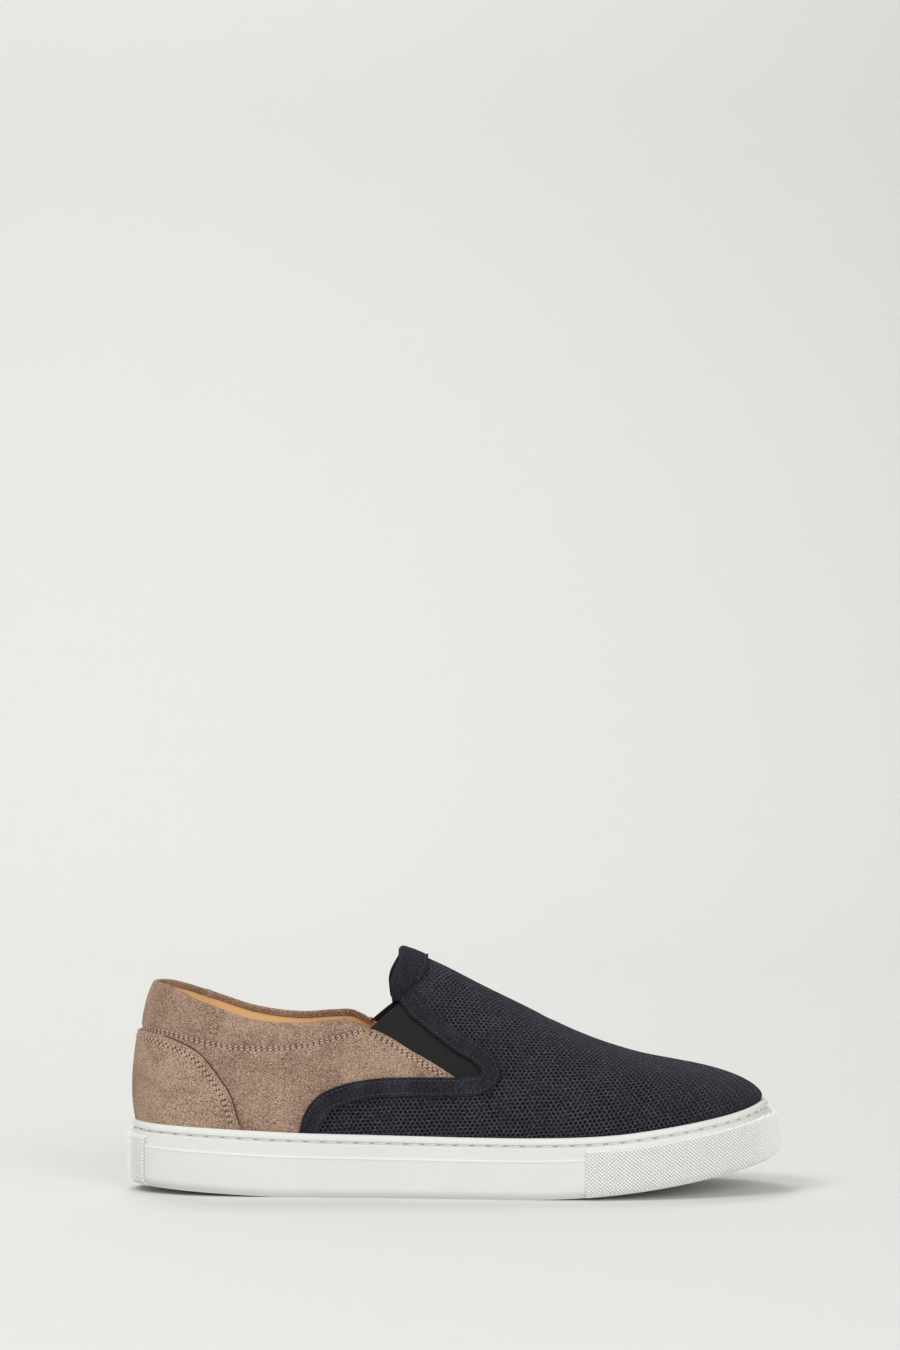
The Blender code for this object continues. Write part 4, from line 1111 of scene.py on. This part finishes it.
def vamp_back(side):
    """Up the middle of the band, round the elastic, and up the tongue's edge."""
    band = resample(seen_at(side, BAND_PATH[:-1]), 90)
    band[0, 1] = 0.0
    start = float(climb_to(side * TONGUE, lambda x: 0.80 * INSTEP_HEIGHT))
    edge_climbs = np.linspace(start, math.pi / 2, 40)
    return np.vstack([band, np.column_stack([np.full(40, side * TONGUE), edge_climbs])])


def vamp_grid(side, rows, columns):
    back, _ = by_height(vamp_back(side), rows)
    climbs = np.maximum.accumulate(back[:, 1])
    u = np.linspace(0, 1, columns)[None, :]
    return (1 - u) * back[:, :1] + u * side, (1 - u) * back[:, 1:] + u * climbs[:, None]


def unrolled(round_at, climb):
    """Flat coordinates of the vamp: along the shoe, and up each rib from the lip."""
    climbs = climb[..., None] * np.linspace(0, 1, 25)
    rib = last(np.repeat(round_at[..., None], 25, axis=-1), climbs)
    up = np.linalg.norm(np.diff(rib, axis=-2), axis=-1).sum(axis=-1)
    x = rib[..., -1, 0]
    return np.stack([x, up - ROW_SLOPE * x, 0 * up], axis=-1)


def punched(paint):
    """Depth and shade of the holes: a staggered grid in the vamp's flat coordinates."""
    flat = paint.read("flat", "Vector")
    along = paint.part(flat, "X") + (paint.noise(0.012) - 0.5) * HOLE_STRAY
    across = paint.part(flat, "Y") + (paint.noise(0.014) - 0.5) * HOLE_STRAY
    grids = []
    for shift in (200.0, 200.5):
        a = paint.maths("FRACT", along * (1 / HOLE_PITCH) + shift) - 0.5
        b = paint.maths("FRACT", across * (0.5 / HOLE_ROWS) + shift) - 0.5
        grids.append(a * a * HOLE_PITCH**2 + b * b * (4 * HOLE_ROWS**2))
    away = paint.maths("SQRT", paint.maths("MINIMUM", *grids)) * (1 / HOLE_RADIUS)
    hole_strength = paint.step(0.30, 0.62, paint.noise(0.009, 3.0)) * 0.3 + 0.7
    tongue, toe = [[(share - 0.5) * LENGTH for share in ends] for ends in (PLAIN_BY_TONGUE, PLAIN_OVER_TOE)]
    by_tongue = (1 - paint.step(*tongue, along)) * paint.step(*PLAIN_ABOVE, paint.part(paint.place(), "Z"))
    hole_strength = hole_strength * (1 - by_tongue * 0.7) * (1 - paint.step(*toe, along) * 0.55)
    depth = (1 - paint.step(0.6, 1.6, away)) * hole_strength * 3.2
    # where the holes fade, over the toe and by the tongue, part of their shade stays painted on the plain
    # leather: painted shade that keeps those lit parts as dark as the punched leather
    return depth, (1 - paint.step(0.7, 1.25, away)) * hole_strength + (1 - hole_strength) * 0.30


def build_vamp():
    rows, columns = 72, 170
    parts = []
    for side in (-1, 1):
        round_at, climb = vamp_grid(side, rows, columns)
        points = np.concatenate([np.array(tail_rows(round_at[0], (1.0, 0.5))), skin(round_at, climb)])
        flat = unrolled(round_at, climb)
        flat = np.concatenate([flat[:1], flat[:1], flat])
        faces = grid_faces(*points.shape[:2])
        parts.append((points.reshape(-1, 3), faces if side > 0 else faces[:, ::-1], flat.reshape(-1, 3)))
    points, faces = joined([part[:2] for part in parts])
    material = suede("navy_punched", PUNCHED_LIGHT, PUNCHED, PUNCHED_DARK, 0.85, 0.35, punched, 0.05)
    made = mesh_object("vamp", points, faces, material)
    layer = made.data.attributes.new("flat", "FLOAT_VECTOR", "POINT")
    layer.data.foreach_set("vector", np.vstack([part[2] for part in parts]).ravel())
    weld(made)
    dress(made, "navy_suede")


def weld(made):
    """Joins the two halves of a piece where they meet."""
    work = bmesh.new()
    work.from_mesh(made.data)
    bmesh.ops.remove_doubles(work, verts=work.verts, dist=0.00001)
    bmesh.ops.recalc_face_normals(work, faces=work.faces)
    work.to_mesh(made.data)
    work.free()


build_vamp()


# The lining: smooth tan leather glued inside the quarters and the vamp. A seam on the
# inner side of the heel joins its pieces under the collar.
TAN_LIGHT, TAN, TAN_DARK = (1.0, 0.76, 0.43), (0.98, 0.67, 0.32), (0.90, 0.55, 0.23)
TAN_SHADE = (0.60, 0.20, 0.045)  # painted shade, in the corner beside the elastic and on toward the toe
TAN_SHADE_FROM, TAN_SHADE_TO = -0.050, -0.034
JOINT = ((0.117, 0.792),)  # share of the length, share of the instep height
LAP_HALF, LAP_LIFT = 0.0040, 0.0003  # half width as a share of the way round, thickness
LINING_SEAM_HALF, LINING_SEAM_LIFT, LINING_SEAM_CLIMBS = 0.0005, 0.0001, (0.06, 0.348)


def leather(name, light, middle, dark):
    paint = Paint(name, Roughness=0.5, Specular_IOR_Level=0.4)
    cloud = paint.step(0.3, 0.7, paint.noise(0.02, 3.0))
    cell = paint.node("ShaderNodeTexVoronoi", {"feature": "DISTANCE_TO_EDGE"},
                      {"Vector": paint.place(), "Scale": 1100.0})
    grain = paint.step(0.0, 0.12, cell)
    colour = paint.mix(cloud, dark, middle)
    colour = paint.mix(paint.noise(0.0012, 3.0) * 0.5, colour, light)
    # painted shade on the lining from beside the elastic toward the toe, where it lies in the shoe's shadow
    along = paint.part(paint.place(), "X")
    colour = paint.mix(paint.step(TAN_SHADE_FROM, TAN_SHADE_TO, along) * 0.75, colour, TAN_SHADE)
    return paint.wear(Base_Color=colour, Normal=paint.bump(grain + cloud * 0.3, 0.00012, 0.3),
                      Roughness=0.55 - cloud * 0.12)


def build_lining():
    depth = -UPPER_WALL + LINING_STEP
    material = leather("tan_leather", TAN_LIGHT, TAN, TAN_DARK)
    parts = []
    for side in (-1, 1):
        for round_at, climb in (quarter_grid(side, 40, 70), vamp_grid(side, 44, 90)):
            tail = tail_rows(round_at[0], (1.0, 0.5), -depth)
            points = np.concatenate([np.array(tail), skin(round_at, climb, depth)])
            faces = grid_faces(*points.shape[:2])
            parts.append((points.reshape(-1, 3), faces if side < 0 else faces[:, ::-1]))
    dress(mesh_object("lining", *joined(parts), material), "tan_leather")


def build_joint():
    """Where the collar's two lengths meet: one laps over the other, above a seam."""
    middle = seen_at(1, JOINT)[0, 0]
    round_at = middle + np.linspace(-LAP_HALF, LAP_HALF, 9)
    climb = topline_climb(round_at)
    rows = turned_edge(round_at, climb, skin(round_at, climb), LAP_LIFT)
    sheet("collar_joint", rows, bpy.data.materials["taupe_suede"], "taupe_suede")
    round_at = middle + np.linspace(-LINING_SEAM_HALF, LINING_SEAM_HALF, 9)
    climb = topline_climb(round_at) - np.linspace(*LINING_SEAM_CLIMBS, 14)[:, None]
    rows = skin(round_at, climb, -UPPER_WALL + LINING_STEP - LINING_SEAM_LIFT)
    sheet("lining_seam", rows, bpy.data.materials["taupe_thread"], "tan_leather")


build_lining()
build_joint()


# The insole: a padded footbed under the same tan leather, dished at the heel.
INSOLE_THICKNESS = 0.0045
HEEL_DISH = 0.0012
INSOLE_RIM = 0.002  # width of its rounded rim


def build_insole():
    places = np.linspace(0, 1, 150)
    across = 33
    inset = margin(places) + CUP_TUCK + UPPER_WALL + CLEARANCE
    ends = []
    for side in (-1, 1):
        x, y = edge(side * places, inset)
        ends.append(np.stack([x, y], axis=-1))
    part = np.linspace(0, 1, across)[:, None, None]
    plan = ends[0] + (ends[1] - ends[0]) * part
    x, y = plan[..., 0], plan[..., 1]
    part = part[..., 0]
    dish = HEEL_DISH * np.sin(math.pi * part) * ease(0.35, 0.15, share_of(x))
    inside = np.minimum(part, 1 - part) * np.linalg.norm(ends[1] - ends[0], axis=-1)
    drop = 0.5 * INSOLE_RIM * (1 - np.minimum(inside / INSOLE_RIM, 1)) ** 2
    top = floor_height(x) + CLEARANCE + INSOLE_THICKNESS - dish - drop
    upper = np.stack([x, y, top], axis=-1)
    lower = np.stack([x, y, floor_height(x) + CLEARANCE], axis=-1)
    size = upper.shape[:2]
    faces = grid_faces(*size)
    count = size[0] * size[1]
    border = [0 * size[1] + np.arange(size[1]), (size[0] - 1) * size[1] + np.arange(size[1])]
    sides = [np.column_stack([line[:-1], line[1:], line[1:] + count, line[:-1] + count]) for line in border]
    made = mesh_object("footbed", np.vstack([upper.reshape(-1, 3), lower.reshape(-1, 3)]),
                       np.vstack([faces, faces[:, ::-1] + count, sides[0][:, ::-1], sides[1]]),
                       bpy.data.materials["tan_leather"])
    weld(made)
    dress(made, "tan_leather", "insole")


build_insole()


# The elastic: a wedge of black webbing let into the notch on each side, its cords
# running from the tip up to the free edge.
GORE_DEPTH, GORE_THICKNESS = 0.0006, 0.0012
CORD_PITCH = 0.00062
ELASTIC_DARK, ELASTIC_LIGHT = (0.0055, 0.0056, 0.0056), (0.0185, 0.0187, 0.0185)


def build_gores():
    paint = Paint("black_elastic", Roughness=0.85, Sheen_Weight=0.15, Specular_IOR_Level=0.25)
    flat = paint.read("flat", "Vector")
    turns = 2 * math.pi / CORD_PITCH
    cord = paint.maths("SINE", paint.part(flat, "Y") * turns) * 0.5 + 0.5
    weft = paint.maths("SINE", paint.part(flat, "X") * (turns * 1.4)) * 0.5 + 0.5
    lint = paint.noise(0.0008, 3.0, 0.7)
    colour = paint.mix(cord * 0.35 + lint * 0.5, ELASTIC_DARK, ELASTIC_LIGHT)
    material = paint.wear(Base_Color=colour, Normal=paint.bump(cord + weft * 0.4 + lint * 0.5, 0.0001, 0.5))
    for side, name in ((-1, "gore_outer"), (1, "gore_inner")):
        back = resample(seen_at(side, GORE_BACK + GORE_TIP), 60)
        front = resample(seen_at(side, BAND_PATH[:BAND_TURN:-1]), 60)
        part = np.linspace(-0.10, 1.0, 30)[None, :, None]
        grid = back[:, None] + (front - back)[:, None] * part
        free = resample(seen_at(side, GORE_TOP), 28)
        sag = free - free[:1] - (free[-1:] - free[:1]) * np.linspace(0, 1, 28)[:, None]
        grid[:, 2:] += sag[None] * np.linspace(1, 0, len(back))[:, None, None] ** 3
        rows = skin(grid[..., 0], grid[..., 1], -GORE_DEPTH)
        inner = skin(grid[..., 0], grid[..., 1], -GORE_DEPTH - GORE_THICKNESS)
        points = np.concatenate([inner[::-1], rows])
        down = walk(back)[:, None] * np.ones(30)
        wide = np.linalg.norm(rows[:, -1] - rows[:, 0], axis=-1)[:, None] * (part[0, :, 0] - 0.5)
        flat = np.stack([down, wide, 0 * down], axis=-1)
        faces = grid_faces(*points.shape[:2])
        made = mesh_object(name + "_webbing", points, faces if side > 0 else faces[:, ::-1], material)
        layer = made.data.attributes.new("flat", "FLOAT_VECTOR", "POINT")
        layer.data.foreach_set("vector", np.concatenate([flat[::-1], flat]).ravel())
        dress(made, "black_elastic", name)


build_gores()


# The heel counter: a stiff taupe suede patch that wraps the heel and stands on the lip,
# held by a double row of stitches inside its edge.
COUNTER_THICKNESS = 0.0012
# how far past the counter's edge its painted shadow reaches on the quarter
EDGE_SHADOW_REACH = 0.00045
COUNTER_EDGE = (
    (0.034, 0.654),
    (0.051, 0.649),
    (0.072, 0.632),
    (0.089, 0.614),
    (0.115, 0.572),
    (0.128, 0.533),
    (0.143, 0.481),
    (0.160, 0.410),
    (0.169, 0.333),
    (0.175, 0.279),
)
# Its rounded rim: share of the way up, height as a share of the thickness.
COUNTER_RIM = ((0.97, 0.985), (0.985, 0.93), (0.995, 0.80), (1.0, 0.60), (1.0, -0.25))
COUNTER_SEAM = (0.0028, 0.0040)  # from the edge
COUNTER_LIGHT, COUNTER, COUNTER_DARK = (0.58, 0.418, 0.312), (0.368, 0.245, 0.175), (0.178, 0.109, 0.073)
# the cut edge and the painted shadow beside it, in one dark colour
EDGE_SHADOW_DARK, EDGE_SHADOW_LIGHT = (0.055, 0.022, 0.014), (0.130, 0.070, 0.050)


def foot_climb(round_at):
    return climb_to(round_at, lambda x: lip_height(x) + 2 * CLEARANCE)


def counter_line(count=181):
    outer, inner = seen_at(-1, COUNTER_EDGE), seen_at(1, COUNTER_EDGE)
    apex = (outer[0, 1] + inner[0, 1]) / 2
    return resample(np.vstack([outer[::-1], [(0.0, apex)], inner]), count)


def build_counter():
    line = counter_line()
    foot = foot_climb(line[:, 0]) - 0.02
    profile = [(part, 1.0) for part in np.linspace(0, 0.94, 34)] + list(COUNTER_RIM)
    parts, rise = np.array(profile).T
    grid = np.stack([np.stack([line[:, 0], foot + (line[:, 1] - foot) * part], axis=-1) for part in parts])
    offset = (CLEARANCE + COUNTER_THICKNESS * rise)[:, None] * np.ones(len(line))
    points = skin(grid[..., 0], grid[..., 1], offset)
    material = suede("counter_suede", COUNTER_LIGHT, COUNTER, COUNTER_DARK, 1.15, 0.9)
    sheet("heel_counter_suede", points, material, "counter_suede", "heel_counter")
    # A dark strip from the counter's top face down over its cut edge and onto the quarter just beyond:
    # partly the raw edge, mostly painted shadow under the edge.
    edge_and_shadow = Paint("cut_edge_and_shadow", Roughness=1.0)
    edge_and_shadow.wear(Base_Color=edge_and_shadow.mix(edge_and_shadow.noise(0.0008), EDGE_SHADOW_DARK, EDGE_SHADOW_LIGHT))
    for side, ends in (("outer", slice(2, 62)), ("inner", slice(-62, -2))):
        rim = line[ends]
        out = beside(rim, -EDGE_SHADOW_REACH)
        strip = [skin(rim[:, 0], rim[:, 1], CLEARANCE + COUNTER_THICKNESS * 0.75),
                 skin(out[:, 0], out[:, 1], CLEARANCE), skin(out[:, 0], out[:, 1], -CLEARANCE)]
        sheet("counter_cut_edge_and_shadow_" + side, strip, edge_and_shadow.material, "counter_suede")
    rows = [beside(line[4:-4], distance) for distance in COUNTER_SEAM]
    sewn("counter_stitches", rows, CLEARANCE + COUNTER_THICKNESS, bpy.data.materials["taupe_thread"],
         "counter_suede")


build_counter()


# The bands: plain navy suede strips over the vamp's edge and over the tongue, stitched
# near both edges. The tongue's band is turned over the edge to the inside.
BAND_THICKNESS = 0.0010
BAND_WIDTH = 0.0088
TONGUE_BAND_WIDTH = 0.0105
TONGUE_BAND_FEET = (0.782, 0.876)
BAND_SEAM = 0.0016  # from the band's edge
NAVY_LIGHT, NAVY, NAVY_DARK = (0.088, 0.084, 0.112), (0.034, 0.0325, 0.0450), (0.0125, 0.0120, 0.0165)
BAND_SHADE, TONGUE_BAND_PAINTED_SHADE = 0.62, 0.45  # how dark the plain navy suede is painted on the bands, and darker on the tongue's band as painted shade where the key light falls on it
FINE_SEAM = {"pitch": 0.0022, "radius": 0.00018, "share": 0.62, "hole": 0.00028}
TURNED_IN = 0.0070
BAND_TAIL = 3  # steps of the path that the band goes on below the lip
BAND_PROFILE = (
    (-0.5, -0.3),
    (-0.5, 0.6),
    (-0.487, 1.05),
    (-0.460, 1.30),
    (-0.420, 1.28),
    (-0.370, 1.02),
    (-0.320, 0.88),
    (-0.260, 1.08),
    (-0.140, 1.25),
    (0.0, 1.30),
    (0.140, 1.25),
    (0.260, 1.08),
    (0.320, 0.88),
    (0.370, 1.02),
    (0.420, 1.28),
    (0.460, 1.30),
    (0.487, 1.05),
    (0.5, 0.6),
    (0.5, -0.3),
)  # share of the width, height as a share of the thickness
TONGUE_PROFILE = (
    (1.0, -0.3),
    (1.0, 0.9),
    (0.99, 1.3),
    (0.967, 1.5),
    (0.943, 1.4),
    (0.92, 1.05),
    (0.90, 0.9),
    (0.86, 0.92),
    (0.82, 1.02),
    (0.7, 1.1),
    (0.45, 1.15),
    (0.2, 1.05),
    (0.0, 1.0),
)
TONGUE_SEAM_ROW = 7  # row of the profile that is stitched
NAVY_THREAD_DARK, NAVY_THREAD_LIGHT = (0.022, 0.022, 0.036), (0.110, 0.108, 0.150)


def build_bands():
    material = suede("navy_suede", *shaded(BAND_SHADE, NAVY_LIGHT, NAVY, NAVY_DARK), 0.6, 0.9)
    thread = Paint("navy_thread", Roughness=0.6)
    twist = thread.noise(0.0006, 2.0)
    thread.wear(Base_Color=thread.mix(twist, NAVY_THREAD_DARK, NAVY_THREAD_LIGHT))
    rows = []
    for side, name in ((-1, "vamp_band_outer"), (1, "vamp_band_inner")):
        path = resample(seen_at(side, BAND_PATH), 220)
        path = np.vstack([path[:1] + (path[:1] - path[1:2]) * BAND_TAIL, path])
        grid = np.stack([beside(path, BAND_WIDTH * part) for part, _ in BAND_PROFILE])
        offset = np.array([CLEARANCE + BAND_THICKNESS * rise for _, rise in BAND_PROFILE])
        points = skin(grid[..., 0], grid[..., 1], offset[:, None] * np.ones(grid.shape[1]))
        weld(sheet(name + "_suede", points, material, "navy_suede", name))
        rows += [beside(path, sign * (BAND_WIDTH / 2 - BAND_SEAM))[3:-2] for sign in (-1, 1)]
    sewn("band_stitches", rows, CLEARANCE + BAND_THICKNESS * 0.9, thread.material, "navy_suede", **FINE_SEAM)


def build_tongue_band():
    ridge = last(np.array([TONGUE, TONGUE + 0.006]), math.pi / 2)
    wide = TONGUE_BAND_WIDTH * 0.006 / (ridge[1, 0] - ridge[0, 0])
    count = 90
    rows, grid = [], []
    for part, rise in TONGUE_PROFILE:
        height = INSTEP_HEIGHT * np.interp(part, (0, 1), TONGUE_BAND_FEET)
        away = TONGUE + wide * part
        low = float(climb_to(-away, lambda x: height))
        high = math.pi - float(climb_to(away, lambda x: height))
        grid.append(np.column_stack([np.full(count, -away), np.linspace(low, high, count)]))
        rows.append(skin(grid[-1][:, 0], grid[-1][:, 1], CLEARANCE + BAND_THICKNESS * rise))
    edge_at, edge_climb = grid[-1][:, 0], grid[-1][:, 1]
    normal = facing(edge_at, edge_climb)
    outward = last(edge_at + 0.01, edge_climb) - last(edge_at - 0.01, edge_climb)
    outward = unit(outward - normal * (outward * normal).sum(axis=1)[:, None])
    thickness = UPPER_WALL + CLEARANCE + 2 * BAND_THICKNESS
    rows += turn_over(rows[-1], normal, outward, thickness, 9)
    for part in (0.25, 0.5, 0.75, 1.0):
        inside = edge_at - wide * part * TURNED_IN / TONGUE_BAND_WIDTH
        rows.append(skin(inside, edge_climb, -UPPER_WALL - BAND_THICKNESS))
    rows.append(skin(inside, edge_climb, -UPPER_WALL))
    # the tongue's band: the same navy suede painted darker than the other bands, as painted shade where the
    # key light falls on it
    material = suede("tongue_suede_painted_shade", *shaded(TONGUE_BAND_PAINTED_SHADE, NAVY_LIGHT, NAVY, NAVY_DARK), 0.7, 1.0)
    weld(sheet("tongue_band_suede", rows, material, "navy_suede", "tongue_band"))
    sewn("tongue_stitches", [grid[TONGUE_SEAM_ROW]], CLEARANCE + BAND_THICKNESS * 0.95,
         bpy.data.materials["navy_thread"], "navy_suede", **FINE_SEAM)


build_bands()
build_tongue_band()
